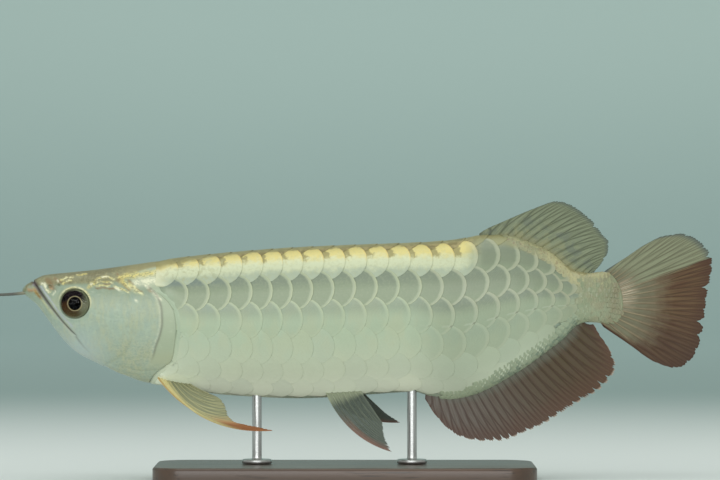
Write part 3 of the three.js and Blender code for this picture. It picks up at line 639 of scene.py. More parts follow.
def skin_paint():
    """Silvery green skin, olive over the crown and brown round the mouth, with gold and bright bone
    showing through in fine uneven patches. The mouth's cleft and the jaw's crease get painted shade, and
    the skin under the gill cover's edge a painted shadow."""
    finish = Finish("silver_skin", Coat_Roughness=0.15)
    gold, brown, rust, bright, lilac, olive, dark, cover, past = finish.numbers(*MARKS)
    grain = finish.noise(900, 4)
    patches = finish.noise(110, 3)
    blush = finish.noise(170, 3, (1, 1, 0.6)).ease(0.42, 0.62)
    streaks = finish.noise(380, 3, (1.6, 1, 0.5))
    lights = finish.noise(260, 2, (1, 1, 2.2))
    worms = finish.noise(800, 3, (1, 1, 1.6)).ease(0.42, 0.54)
    x, z = finish.axis("X"), finish.axis("Z")
    low = z.ease(0.085, 0.055) * x.ease(-0.11, -0.135)
    soft_border = z.ease(0.068, 0.058).mix((162, 174, 146), (172, 176, 142)).coated(
        (patches * 0.5, (176, 190, 166)))
    crown = (patches + streaks * 0.6).ease(0.6, 1.0).mix((110, 102, 64), (136, 135, 100)).coated(
        (worms * grain.ease(0.45, 0.6) * 0.4, (168, 162, 116)),
        (x.ease(-0.118, -0.104) * 0.8, lights.mix((120, 110, 62), (164, 156, 106))))
    veined = x.ease(-0.126, -0.108) * (z + patches * 0.01).ease(0.084, 0.07) * (1 - cover)
    # Behind the gill cover the skin is paler lower down: a silver belly, partly painted light standing in
    # for light from below.
    flank = z.ease(0.075, 0.052).mix((170, 186, 160), (204, 212, 186))
    base = patches.mix((156, 174, 154), (168, 184, 164)).coated(
        (blush * 0.55, (174, 178, 142)),
        (streaks.ease(0.4, 0.62) * 0.45, (146, 166, 154)),
        (grain.ease(0.5, 0.66) * 0.25, (142, 152, 134)),
        (z.ease(0.086, 0.096) * 0.75, (136, 152, 130)),
        (low * 0.75, (188, 201, 204)),
        (cover * x.ease(-0.08, -0.086), soft_border),
        (lights.ease(0.55, 0.75) * 0.3, (184, 196, 170)),
        (olive * 0.85, crown),
        (veined * worms * 0.26, (196, 192, 158)),
        (veined * worms.ease(0.4, 0.0) * 0.12, (136, 142, 112)),
        (brown * (0.6 + worms * 0.32), patches.mix((104, 84, 52), (146, 122, 84))),
        (gold * (0.55 + worms * 0.42), blush.mix((216, 204, 128), (226, 224, 174))),
        (gold * worms.ease(0.4, 0.0) * 0.4, (112, 98, 56)),
        (rust * (0.6 + grain * 0.4), z.ease(0.0935, 0.0955).mix((136, 92, 34), (186, 148, 108))),
        (lilac * 0.65, (172, 178, 190)),
        (bright * (0.55 + worms * 0.4), (234, 234, 204)),
        # Dark: painted shade in the mouth's cleft and jaw crease, partly the lips' colour, and painted
        # shadow under the gill edge.
        (dark * 0.95, (64, 44, 50)),
        (past * 0.9, flank),
        (x.ease(0.12, 0.134), (134, 140, 110)))
    return finish.finished(
        base, 0.42 + grain * 0.16, grain * 0.5 + worms * gold * 0.6, 0.12,
        Metallic=0.08 + gold * 0.1, Coat_Weight=0.12)


# Scales.

# The loop of points round a plate's thickness: how far back each lies, and which are on the underside.
LONG = np.array([0, 0.35, 0.65, 0.9, 0.985, 1, 1, 0])[:, None]
UNDER = np.array([0, 0, 0, 0, 0, 0, 1, 1])[:, None]
SHORT_LONG = np.array([0, 0.6, 0.97, 1, 1, 0])[:, None]
SHORT_UNDER = np.array([0, 0, 0, 0, 1, 1])[:, None]
EDGE_TURN = 1.36
FRONT_WIDE = 0.8
STATIONS = 11
SMALL_STATIONS = 7
LAST_TIP = 124

# How far behind the head's edge the first scales' tips lie.
EDGE_CLEAR = 3
THROAT_CLEAR = 6
CORNER_CLEAR = 5
NAPE_CLEAR = 6

# Large scales: sizes in rows and columns, then the height of the hind edge and how it falls, in millimetres.
SCALE_HIGH = 0.7
SCALE_REACH = 0.93
SCALE_LONG = 1.5
SCALE_TOP = 0.3
SCALE_RISE = 0.06
SCALE_SLOPE = 0.22
SCALE_THICK = 0.05
FLAT_RELIEF = 0.2
FRONT_DIP = 0.6
SIDE_DIP = 0.22

# Small scales in millimetres, and their lattices: start, end and step in x, and the first row and its pitch.
SMALL_REACH = 1.5
SMALL_HIGH = 1.35
SMALL_LONG = 2.9
SMALL_TOP = 0.42
SMALL_SLOPE = 0.06
LAYER_DEEP = 0.012
TAIL_START = 118.5
TAIL_STEPS = 10
TAIL_ROUND = 22
KEEL_X = (50, 121, 2.05)
KEEL_ROWS = 6
KEEL_FIRST, KEEL_PITCH = 0.8, 1.65
BACK_X = (80, 131, 1.9)
BACK_ROWS = 7
BACK_FIRST, BACK_PITCH = 0.6, 1.3


def plate_shape(share, stations, reach, high, front):
    """One plate lying flat: its hind edge is an arc, u = -reach * (1 - cos) and v = high * sin, and its
    front a shorter straight line. Handed back are u, v and the distance from the hind edge, for each
    point of the loop round the plate's thickness and each station across it."""
    swung = EDGE_TURN * np.linspace(-1, 1, stations)
    edge_u, edge_v = -reach * (1 - np.cos(swung)), high * np.sin(swung)
    across = lerp(FRONT_WIDE * edge_v, edge_v, share)
    return lerp(-front, edge_u, share), across, (1 - share) * (edge_u + front)


def plate_faces(count, loop, stations):
    """Faces of that many plates: each is a closed loop of points carried across, with a cap at both
    sides."""
    first = np.arange(count)[:, None] * loop * stations
    skin_of_plate = grid_faces(stations, loop, closed=True)
    caps = [first + np.arange(loop)[::-1], first + (stations - 1) * loop + np.arange(loop)]
    return list((first[:, :, None] + skin_of_plate[None]).reshape(-1, 4)) + list(np.concatenate(caps))


def plates(name, paint, points, values, bake):
    """Makes a piece of plates, whose points, numbers and bake map are given per plate, loop point and
    station."""
    shape = points.shape[:3]

    def ordered(numbers):
        return np.broadcast_to(numbers, shape).transpose(0, 2, 1)

    piece(
        name, points.transpose(0, 2, 1, 3), plate_faces(*shape), paint, (),
        {key: ordered(numbers) for key, numbers in values.items()},
        np.stack([ordered(numbers) for numbers in bake], -1))


def make_large_scales(paint):
    """The scales of the body. A plate's place is a whole or half column and a row, and its height falls
    evenly from its hind edge forwards, so that plates lie over one another like tiles. The first ones
    lie a little way behind the head, further at the throat, the gill cover's upper corner and the nape,
    and sink in there."""
    columns = np.arange(FIRST_COLUMN, LAST_COLUMN + 1)
    columns, rows = np.meshgrid(columns, np.arange(2 * ROWS), indexing="ij")
    kept = (columns + rows) % 2 == 0
    column, row = columns[kept] / 2, rows[kept].astype(float)
    tip_x = column_x(column)
    tip_z = bare(tip_x, turn_of(row))[:, 2]
    past_edge = tip_x - head_edge(tip_z)
    clear = lerp(THROAT_CLEAR, EDGE_CLEAR, smooth(tip_z, 56, 66))
    clear = clear + CORNER_CLEAR * bell(tip_z - 92.5, 4) + NAPE_CLEAR * smooth(tip_z, 95, 99)
    shown = (past_edge > clear) & (tip_x < LAST_TIP)
    shown &= (row > 0) | (past_edge > clear + NAPE_CLEAR)
    shown &= np.abs(row - ROWS) > 1.5 * smooth(tip_x, 96, 104) + 1.2 * smooth(tip_x, 104, 112)
    column, row = column[shown][:, None, None], row[shown][:, None, None]
    tone = np.random.default_rng(CHANCE).uniform(0, 1, row.shape)
    u, v, inset = plate_shape(LONG, STATIONS, SCALE_REACH, SCALE_HIGH, SCALE_LONG)
    at_x = column_x(column + u)
    turn = turn_of(row + v)
    at_z = bare(at_x, turn)[..., 2]
    toward_keel = np.where(row > ROWS, -1, 1)
    from_back = np.minimum(row, 2 * ROWS - row)
    rear = 1.2 * smooth(at_x, 20, 70)
    flat = smooth(from_back + v * toward_keel - rear, 1.6, 2.9)
    relief = lerp(1, FLAT_RELIEF, flat) * lerp(0.3, 1, smooth(at_x, -95, -50))
    lift = SCALE_TOP + relief * (SCALE_RISE + SCALE_SLOPE * u - SCALE_THICK * UNDER)
    side_dip = SIDE_DIP * np.abs(np.linspace(-1, 1, STATIONS)) ** 8 * (1 - LONG)
    lift = (lift - FRONT_DIP * (LONG == 0) - side_dip) * np.minimum(half_width(at_x) / 5, 1)
    past_edge = at_x - head_edge(at_z)
    lift = lerp(-0.2, lift, smooth(past_edge, 0.5, 7)) - smooth(past_edge, 0.8, -0.8)
    pitch = column_x(column + 0.5) - column_x(column - 0.5)
    along_cell = np.array([0, 0.27, 0.5, 0.69, 0.75, 0.78, 0.84, 1])[:, None] - 0.5
    across_cell = 0.5 + 0.46 * np.linspace(-1, 1, STATIONS)
    values = {
        "nape": 1 - smooth(past_edge, 2, 12), "inset": inset * pitch, "row": from_back,
        "across": v * toward_keel, "tone": tone, "below_back": back(at_x) - at_z}
    plates("scales", paint, lifted(at_x, turn, lift), values, (
        (column + 0.9 * along_cell + 4) / 30, (row + across_cell) / (2 * ROWS)))


def make_small_scales(paint):
    """Small scales crowd the tail's base, the fold above the anal fin and the ridge beside the dorsal
    fin. Their places are lattices of x and the way round from the back or the keel, and they lie deeper
    by their layer."""
    rng = np.random.default_rng(CHANCE)
    place = np.arange(TAIL_ROUND)
    step, tail_turn = np.meshgrid(np.arange(TAIL_STEPS), 2 * place / TAIL_ROUND, indexing="ij")
    step = step + 0.5 * (place % 2)
    tail_x = TAIL_START + 3 * step - 0.07 * step ** 2
    tail_z = bare(tail_x, tail_turn)[..., 2]
    kept = tail_x < flesh_end(tail_z) + rng.uniform(-0.5, 2.6, tail_x.shape)
    tail_x, tail_turn = tail_x[kept], tail_turn[kept]
    keel_x, keel_row = np.meshgrid(np.arange(*KEEL_X), np.arange(KEEL_ROWS), indexing="ij")
    kept = keel_row < 2.5 + 3 * smooth(keel_x, 52, 80)
    keel_x, keel_row = (keel_x + 1.02 * (keel_row % 2))[kept], keel_row[kept]
    back_x, back_row = np.meshgrid(np.arange(*BACK_X), np.arange(BACK_ROWS), indexing="ij")
    back_x, back_row = (back_x + 0.95 * (back_row % 2) + 0.9 * back_row).ravel(), back_row.ravel()
    from_keel = (KEEL_FIRST + KEEL_PITCH * keel_row) / half_girth(keel_x)
    from_back = (BACK_FIRST + BACK_PITCH * back_row) / half_girth(back_x)
    places = [
        (tail_x, tail_turn, 0, 0),
        (keel_x, 1 - from_keel, 1, keel_row), (keel_x, 1 + from_keel, 1, keel_row),
        (back_x, from_back, 2, back_row), (back_x, 2 - from_back, 2, back_row)]
    places = np.concatenate([np.stack(np.broadcast_arrays(*place)) for place in places], 1)
    tip_x, tip_turn, group, layer = places[..., None, None]
    tip_x = tip_x + rng.uniform(-0.25, 0.25, tip_x.shape)
    size = np.where(group == 1, 0.92, lerp(1, 1.4, (group == 0) * smooth(tip_x, 140, 118)))
    size = size * rng.uniform(0.9, 1.1, tip_x.shape)
    u, v, inset = plate_shape(SHORT_LONG, SMALL_STATIONS, SMALL_REACH, SMALL_HIGH, SMALL_LONG)
    at_x = tip_x + u * size
    turn = tip_turn + v * size / half_girth(at_x)
    lift = SMALL_TOP + SMALL_SLOPE * u - SCALE_THICK * SHORT_UNDER - LAYER_DEEP * layer
    along_cell = np.array([0, 0.45, 0.72, 0.75, 0.84, 1])[:, None] - 0.5
    across_cell = np.linspace(-0.5, 0.5, SMALL_STATIONS)
    values = {
        "below_back": back(at_x) - bare(at_x, turn)[..., 2], "inset": inset * size, "group": group,
        "layer": layer, "tone": rng.uniform(0, 1, tip_x.shape)}
    points = lifted(at_x, turn, lift * np.minimum(half_width(at_x) / 2.5, 1))
    plates("small_scales", paint, points, values, (
        (tip_x + 1.6 * along_cell - MAP_START) / MAP_LONG,
        (tip_turn + 1.5 * across_cell / half_girth(at_x)) / 2))


def large_scale_paint():
    """Silver scales with pale rims and shaded middles. The back's are olive with gold. The next row is
    gold above and grey-green below, with pale silver between, partly a painted reflection of the light
    from above, and a dark olive wedge in front. Just under that row near the head the scales' upper parts
    are painted darker blue-grey as shade. The lower rows grow paler towards the keel: a silver belly, and
    partly painted light standing in for light from below. Growth rings follow each hind edge."""
    finish = Finish("large_scale", Coat_Roughness=0.15)
    inset, row, across, tone, nape, below_back = finish.numbers(
        "inset", "row", "across", "tone", "nape", "below_back")
    x = finish.axis("X")
    grain = finish.noise(700, 4)
    patches = finish.noise(60, 3)
    blots = finish.noise(330, 3)
    blush = finish.noise(150, 3, (1, 1, 0.5)).ease(0.4, 0.62)
    height = row + across
    hind = x.ease(0.025, 0.06)
    fore = 1 - x.ease(0.058, 0.07)
    near_head = 1 - x.ease(-0.075, -0.045)

    def in_row(k):
        return row.ease(k - 0.6, k - 0.4) * (1 - row.ease(k + 0.4, k + 0.6))

    rim = 1 - inset.ease(0.4, 0.9)
    band = 1 - (inset + blots - hind * 0.3).ease(1.3, 2.7)
    upper = across.ease(0.2, -0.4)
    shaded = in_row(2) + in_row(3) * (0.15 + upper * 0.5 + hind * 0.4)
    shaded = shaded + in_row(4) * hind * 0.35 + in_row(1) * hind
    shaded = shaded * (1 - nape * 0.5) * (1 - x.ease(0.112, 0.128) * 0.7)
    middle = inset.ease(1.6, 3) * across.size().ease(0.45, 0.2)
    low = (across + tone * 0.2 + blots * 0.2).ease(0.3, -0.2)
    core = low.mix((138, 151, 124), (126, 138, 119)).coated(
        # Painted shade: near the head the upper part of the scales just under the gold row is darker
        # blue-grey.
        (across.ease(-0.2, -0.45) * near_head * 0.6, (114, 130, 126)),
        (grain.ease(0.45, 0.65) * 0.35, (150, 160, 134)),
        (hind * height.ease(3.6, 1.2) * (0.25 + middle * 0.45), (124, 134, 113)))
    wedge = (inset + blots * 7 - 3.5).ease(6.9, 8.2) * (across + blots * 0.6 - 0.3).ease(-0.02, -0.2)
    # At the nape: gold above and pale silver below, the pale silver partly a painted reflection of light
    # from above.
    nape_gold_and_sheen = (across + blots * 0.3 - 0.15).ease(-0.15, 0.15).mix((212, 200, 138), (224, 226, 192))
    downward = across + blots * 0.4 - 0.2
    # The gold row: gold above, pale silver in the middle, partly a painted reflection of light from above,
    # grey-green below.
    gold_row_and_sheen = downward.ease(-0.3, 0.05).mix((210, 199, 128), (204, 211, 178)).coated(
        (downward.ease(0.15, 0.45), (170, 182, 160)),
        (grain.ease(0.5, 0.62) * 0.2, (178, 180, 136)),
        (rim * across.ease(0.1, -0.2) * 0.6, (214, 194, 118)),
        (wedge * 0.8 * (1 - nape), (134, 128, 80)),
        (near_head * blots.ease(0.5, 0.6) * 0.5, (176, 178, 138)),
        (nape * 0.85, nape_gold_and_sheen))
    ridge = blots.ease(0.42, 0.58).mix((134, 124, 76), (198, 184, 128)).coated(
        (across.size().ease(0.25, 0.45) * 0.6, (120, 112, 68)),
        (1 - fore, (146, 150, 110)))
    olive_depth = 1.6 + (1 - x.ease(-0.1, -0.06)) * 2.4
    crown = 1 - ((below_back + blots * 2.4 - 1.2) / olive_depth).ease(0.6, 1.3)
    gilt = (below_back + blots * 3 - 1.5).ease(7, 3.5) * x.ease(0.066, 0.082)
    lateral = in_row(3) * (across - 0.36).size().ease(0.05, 0.02) * hind
    base = patches.mix((168, 185, 158), (180, 196, 168)).coated(
        (blush * 0.4, (186, 190, 156)),
        # Paler towards the keel: the silver belly, partly painted light standing in for light from below.
        (height.ease(3.2, 5.2), (204, 212, 186)),
        (height.ease(4.8, 6.2), (238, 244, 220)),
        (tone * 0.25, (178, 192, 178)),
        (hind * 0.45, (150, 166, 142)),
        (x.ease(0.09, 0.12) * 0.6, (146, 152, 122)),
        (shaded * (1 - band), core),
        (shaded * band * (0.6 - hind * 0.15), hind.mix((156, 162, 132), (160, 156, 132))),
        (rim * (0.05 + shaded * (0.36 - hind * 0.26)), (188, 198, 160)),
        # The gold row's colours, with their partly painted reflection.
        (in_row(1) * fore, gold_row_and_sheen),
        (in_row(0), ridge),
        (crown * 0.85, blots.mix((128, 120, 70), (156, 154, 108))),
        (gilt * 0.7, x.ease(0.085, 0.1).mix((150, 150, 108), (186, 180, 136))),
        (lateral * inset.ease(5.5, 4.5) * 0.22, (200, 206, 186)),
        (lateral * inset.ease(1.4, 0.9) * 0.6, (104, 112, 92)))
    rings = (inset * 9).sine() * 0.5 + 0.5
    fan = (across * 70).sine() * 0.5 + 0.5
    relief = rings * 0.3 * inset.ease(0.3, 1.2) + fan * 0.1 * (1 - band) + grain * 0.5
    return finish.finished(
        base, 0.4 + grain * 0.16, relief, 0.06, Metallic=0.12 + in_row(1) * fore * 0.15, Coat_Weight=0.18)


def small_scale_paint():
    """Small scales: grey-olive at the tail's base and cream along its top, grey-green with dark flecks
    over the anal fin, and olive with cream and rust specks beside the dorsal fin."""
    finish = Finish("small_scale", Coat_Roughness=0.15)
    inset, group, tone, layer, below_back = finish.numbers(
        "inset", "group", "tone", "layer", "below_back")
    x = finish.axis("X")
    grain = finish.noise(900, 3)
    spots = finish.noise(260, 3)
    specks = finish.noise(620, 2).ease(0.56, 0.64)
    tail = tone.mix((132, 144, 114), (146, 150, 120)).coated(
        ((below_back + spots * 4).ease(14, 20) * 0.6, (156, 168, 140)),
        (spots.ease(0.42, 0.6) * x.ease(0.116, 0.126) * 0.45, (148, 138, 110)),
        (specks * 0.3, (176, 180, 150)),
        ((below_back + spots * 4).ease(5.5, 2.5) * 0.7, tone.mix((186, 176, 128), (160, 150, 108))),
        (x.ease(0.124, 0.138) * (0.35 + spots * 0.6), (116, 108, 80)))
    fold = (tone * 0.5 + spots).ease(0.6, 0.85).mix((132, 148, 128), (162, 174, 148)).coated(
        (specks * (layer + spots * 3).ease(5.5, 2.5) * 0.6, (92, 104, 94)),
        ((layer + tone).ease(1.8, 4.5) * 0.7, (158, 172, 146)),
        (x.ease(0.085, 0.06), (170, 184, 156)))
    ridge = tone.ease(0.2, 0.8).mix((142, 146, 112), (164, 164, 124)).coated(
        (x.ease(0.094, 0.106) * x.ease(0.121, 0.114) * 0.6, (196, 190, 144)),
        (specks * 0.5, (130, 104, 82)),
        ((layer + spots * 4).ease(5, 9) * 0.5, (146, 150, 122)))
    base = group.ease(0.4, 0.6).mix(tail, fold).coated(
        (group.ease(1.4, 1.6), ridge),
        ((1 - inset.ease(0.25, 0.7)) * 0.2, (186, 186, 150)))
    return finish.finished(base, 0.42 + grain * 0.15, grain, 0.06, Metallic=0.1, Coat_Weight=0.15)


# Fins.

# Outlines from the first ray to the last: the share of the way across, x and z, and for the paired fins how
# far out from the middle plane. Roots and bows are given as (x, out, z).
DORSAL_TIPS = [
    (0, 67, 122.8), (0.03, 70.5, 125.2), (0.07, 77.5, 128.5), (0.11, 85.5, 132), (0.15, 94, 135.6),
    (0.2, 105.5, 139.5), (0.3, 112.5, 138), (0.4, 118.5, 134.2), (0.5, 124.5, 129), (0.6, 128.8, 123.2),
    (0.7, 132.2, 118.7), (0.8, 131.7, 114), (0.9, 129, 109), (1, 124.5, 103.7),
]
ANAL_TIPS = [
    (0, 40, 41), (0.04, 44, 34), (0.08, 51, 26), (0.13, 58.5, 21.2), (0.2, 68.5, 19.3), (0.28, 78, 19.3),
    (0.38, 87.5, 22.6), (0.48, 98, 27), (0.58, 107.5, 32.7), (0.68, 117.5, 39), (0.78, 126.5, 44.2),
    (0.86, 133, 50.7), (0.91, 135.8, 56.5), (0.95, 134, 62.5), (1, 124.5, 78),
]
TAIL_TIPS = [
    (0, 131.5, 105.2), (0.03, 142, 112), (0.07, 151, 118), (0.11, 159.5, 122), (0.16, 168.5, 123.3),
    (0.22, 174, 122), (0.28, 179, 118.7), (0.34, 183, 114), (0.41, 184.5, 108.5), (0.5, 183.2, 99.5),
    (0.58, 181.5, 91.5), (0.66, 180.5, 83), (0.74, 179, 73), (0.81, 176.5, 65), (0.87, 171.5, 58.2),
    (0.92, 165, 55.7), (0.95, 155, 59), (0.98, 142, 68), (1, 129.5, 76.5),
]
PECTORAL_LEFT_TIPS = [
    (0, -34.9, 26.7, 43), (0.15, -44.5, 28.6, 40.5), (0.3, -53, 30.4, 36.5), (0.45, -57.5, 33.7, 31),
    (0.6, -58.8, 37.6, 26), (0.8, -62.2, 41.7, 20), (1, -67.6, 43.8, 16),
]
PECTORAL_RIGHT_TIPS = [
    (0, -45, 47, 42), (0.15, -50.5, 46, 38), (0.3, -54.5, 45.5, 34), (0.45, -57.5, 45.5, 29.5),
    (0.6, -60, 46, 25.5), (0.8, -63.5, 46.5, 20), (1, -68, 46.5, 15),
]
PELVIC_LEFT_TIPS = [
    (0, 23.3, 14.9, 17.5), (0.3, 21.5, 18.4, 16.5), (0.6, 19.7, 22.3, 14.5), (1, 18.7, 29, 11),
]
PELVIC_RIGHT_TIPS = [
    (0, 27.8, 27.8, 23), (0.3, 25.3, 29.5, 20), (0.6, 21.9, 31.7, 16), (1, 17.4, 35.4, 11),
]
PECTORAL_ROOTS = ((-94.5, 5, 52.7), (-79, 4, 48.7))
PELVIC_ROOTS = ((-10, 3.5, 44.4), (7.5, 3.2, 45.1))
PECTORAL_LEFT_BOW = (-6.3, 3, -16.5)
PECTORAL_RIGHT_BOW = (-4, 5, -6.5)
PELVIC_BOW = (-6, 1, -8.7)
ROOT_SUNK = 3

# Half the thickness of the rays and of the web between them, at their roots and tips.
RAY_ROOT = 0.56
RAY_TIP = 0.16
WEB_ROOT = 0.2
WEB_TIP = 0.1
RAY_STEPS = 44


def bowed(root, tip, bow, s):
    """A ray from its root to its tip as a curve of the second degree, whose middle is drawn aside by the
    bow."""
    s = s[..., None]
    return root * (1 - s) ** 2 + tip * s * s + ((root + tip) / 2 + bow) * 2 * s * (1 - s)


def middle_fin(tips, root, bow, wave):
    """A fin in the fish's middle plane. Its rays run from root(t) to the outline of tips at t. A sine of t,
    given by its height, pace and start, sways them sideways, more towards their tips."""
    high, pace, start = wave
    tip_x, tip_z = (Through([(p[0], p[k]) for p in tips]) for k in (1, 2))

    def place(t, s):
        x, z = root(t)
        flat = 0 * t
        here = bowed(
            np.stack([x + flat, flat, z + flat], -1), np.stack([tip_x(t), flat, tip_z(t)], -1),
            np.array([0, 0, bow]), s)
        here[..., 1] = swing(here[..., 0]) + high * s * np.sin(pace * t + start)
        return here

    return place


def paired_fin(tips, roots, bow, side):
    """A fin that stands out from one side: its rays run from a short root line to the outline of tips at
    t."""
    tip_x, tip_z, tip_out = (Through([(p[0], p[k]) for p in tips]) for k in (1, 2, 3))
    first, last = np.array(roots, float)

    def place(t, s):
        root = lerp(first, last, t[..., None])
        bend = np.array(bow) * (1 - t)[..., None]
        here = bowed(root, np.stack([tip_x(t), tip_out(t), tip_z(t)], -1), bend, s)
        here[..., 1] = side * here[..., 1] + swing(here[..., 0])
        return here

    return place


def fin_sheet(
        name, place, rays, paint, node, per_ray=20, notch=0.02, tooth=0.6, splits=(), thick=1.0):
    """A fin as one closed sheet. Its rays are ridges on both faces, each parting in two and then in four
    towards its tip, so that the branches end evenly spaced: a ridge is a bell of the distance to the
    nearest branch. The edge is drawn in between the branches' tips, and between the rays by tooth times
    the square of the way from the ray, and split deeper at a few places."""
    rng = np.random.default_rng(CHANCE + rays)
    across = np.linspace(0, 1, (rays - 1) * per_ray + 1)[:, None]
    ray = across * (rays - 1)
    nearest = np.round(ray).astype(int)
    aside = np.abs(ray - np.round(ray))
    branch = 4 * nearest + 2 * (ray > nearest) + (aside > 0.25)
    from_tip = np.abs(np.abs(aside - 0.25) - 0.125) / 0.125
    uneven = rng.uniform(0.3, 1.5, 4 * rays + 4)[branch]
    reach = 1 - notch * uneven * (from_tip ** 1.4 + tooth * (2 * aside) ** 2)
    for where, deep in splits:
        reach = reach - deep * np.clip(1 - np.abs(across - where) * (rays - 1) / 0.3, 0, 1)
    s = np.linspace(0, 1, RAY_STEPS)[None, :] * reach
    t = np.broadcast_to(across, s.shape)
    fork = 0.25 * smooth(s, 0.3, 0.8)
    twig = 0.125 * smooth(s, 0.6, 1)
    ridge = bell(np.abs(np.abs(aside - fork) - twig), lerp(0.12, 0.045, smooth(s, 0.2, 1)))
    ridge = np.maximum(ridge, np.maximum(bell(ray, 0.3), bell(rays - 1 - ray, 0.3)))
    of_ray, of_branch = rng.uniform(0, 1, rays + 1)[nearest], rng.uniform(0, 1, 4 * rays + 4)[branch]
    lane = lerp(of_ray, of_branch, smooth(s, 0.35, 0.8))
    half = thick * lerp(lerp(WEB_ROOT, WEB_TIP, s), lerp(RAY_ROOT, RAY_TIP, s), ridge)
    nudge = 0.004
    side = place(np.minimum(t + nudge, 1), s) - place(np.maximum(t - nudge, 0), s)
    along = place(t, np.minimum(s + nudge, 1)) - place(t, np.maximum(s - nudge, 0))
    normal = unit(np.cross(side, along)) * half[..., None]
    middle = place(t, s)
    m, n = s.shape
    points = np.concatenate([(middle + normal).reshape(-1, 3), (middle - normal).reshape(-1, 3)])
    grid = grid_faces(m, n)
    rim = np.concatenate([
        np.arange(n - 1), np.arange(m - 1) * n + n - 1, (m - 1) * n + np.arange(n - 1, 0, -1),
        np.arange(m - 1, 0, -1) * n])
    after = np.roll(rim, -1)
    wall = np.stack([rim, rim + m * n, after + m * n, after], -1)
    faces = np.concatenate([grid[:, ::-1], grid + m * n, wall])
    whole = np.ones_like(across)
    long = np.linalg.norm(place(across, whole) - place(across, 0 * whole), axis=-1)
    values = {"ridge": ridge, "reach": s, "spread": t, "lane": lane, "long": long * s}
    values = {key: np.tile(numbers.ravel(), 2) for key, numbers in values.items()}
    piece(name, points, faces, paint, (node,), values)


class FinFinish(Finish):
    """A fin's skin: a thin web between jointed rays, with fine streaks that run along the rays."""

    def __init__(self, name, streaks):
        super().__init__(name, Coat_Roughness=0.15, Specular_IOR_Level=0.3)
        self.ridge, self.reach, self.spread, self.lane, self.long = self.numbers(
            "ridge", "reach", "spread", "lane", "long")
        flow = self.node("ShaderNodeCombineXYZ", {}, {"X": self.spread * streaks, "Y": self.reach * 2.5})
        streak = self.node("ShaderNodeTexNoise", {}, {"Vector": flow, "Scale": 1.0, "Detail": 2.0})
        self.streak = streak.ease(0.35, 0.65)
        self.grain = self.noise(1500, 3)
        self.patches = self.noise(230, 4)

    def rays(self, web, ray, light=0.0):
        """The web's colour and the rays' colour, told apart by the ridges, with some lanes lighter."""
        mixed = (self.ridge * 0.8).mix(web, ray)
        return (self.lane * light).mix(mixed, web)

    def jointed(self, base, solid=1.0):
        """The material, with joints along the rays as sines of the way from their roots."""
        joints = (self.long * 7.5).sine() * 0.5 + 0.5
        relief = joints * self.ridge * 0.7 + self.grain * 0.3
        return self.finished(base, 0.5 + self.grain * 0.15, relief, 0.1, Coat_Weight=0.04, Alpha=solid)


def dorsal_finish():
    """Olive, with darker rays, grey flecks and gilt glints near the base, and a blue-grey edge."""
    fin = FinFinish("dorsal_fin_skin", 120)
    flecks = fin.patches.ease(0.5, 0.62) * (1 - fin.reach.ease(0.35, 0.8))
    glints = fin.patches.ease(0.46, 0.38) * fin.streak * (1 - fin.reach.ease(0.2, 0.65))
    base = fin.rays((130, 139, 112), (60, 66, 50), 0.3).coated(
        (fin.streak * 0.5, (92, 100, 78)),
        (flecks * 0.4, (90, 100, 94)),
        (glints * 0.3, (172, 168, 120)),
        ((1 - (fin.reach + fin.patches * 0.1).ease(0.14, 0.32)) * 0.6, (150, 148, 110)),
        (fin.reach.ease(0.88, 1.0) * 0.6, (70, 84, 84)))
    return fin.jointed(base)


def anal_finish():
    """Grey-brown in front and olive-brown behind, with red-brown rays, redder outwards and pale at the
    tips."""
    fin = FinFinish("anal_fin_skin", 150)
    web = fin.spread.ease(0.1, 0.8).mix((112, 105, 98), (76, 64, 40))
    ray = fin.spread.ease(0.1, 0.8).mix((78, 62, 58), (58, 40, 30))
    base = fin.rays(web, ray, 0.25).coated(
        (fin.streak * 0.4, (80, 60, 48)),
        ((fin.reach + fin.patches * 0.3).ease(0.6, 1.2) * 0.45, (98, 64, 50)),
        ((1 - (fin.reach + fin.streak * 0.05).ease(0.1, 0.26)) * 0.5, (110, 116, 104)),
        (fin.reach.ease(0.95, 0.99) * 0.8, (184, 172, 156)))
    return fin.jointed(base)


def tail_finish():
    """Olive-grey above and at the root, red-brown below and outwards, with pale rays near the root."""
    fin = FinFinish("tail_fin_skin", 130)
    olive = fin.rays((134, 140, 112), (84, 86, 68), 0.4).coated((fin.streak * 0.4, (104, 98, 76)))
    root = fin.rays((112, 112, 88), (164, 146, 118), 0.2).coated((fin.streak * 0.45, (92, 80, 62)))
    red = fin.rays((100, 78, 50), (50, 32, 20), 0.4).coated(
        (fin.streak * 0.6, (72, 40, 26)),
        (fin.reach.ease(0.8, 1.0) * 0.6, (66, 40, 28)),
        (fin.spread.ease(0.6, 0.85) * 0.5, (62, 42, 30)))
    outward = (fin.reach + fin.patches * 0.25).ease(0.35, 0.8)
    below = (fin.spread + fin.streak * 0.02).ease(0.375, 0.4)
    lower = outward.mix(root, red)
    upper = (1 - fin.reach.ease(0.1, 0.35)).mix(olive, root)
    fresh = (fin.reach + fin.patches * 0.12).ease(0.34, 0.16) * (0.1 + fin.streak.ease(0.45, 0.9) * 0.8)
    upper_edge = (1 - below) * (fin.reach.ease(0.9, 1.0) + 1 - fin.spread.ease(0.006, 0.03))
    base = below.mix(upper, lower).coated(
        (fresh * (fin.spread - 0.48).size().ease(0.3, 0.1), (202, 188, 164)),
        (upper_edge.least(1.0) * 0.7, (66, 80, 84)))
    return fin.jointed(base)


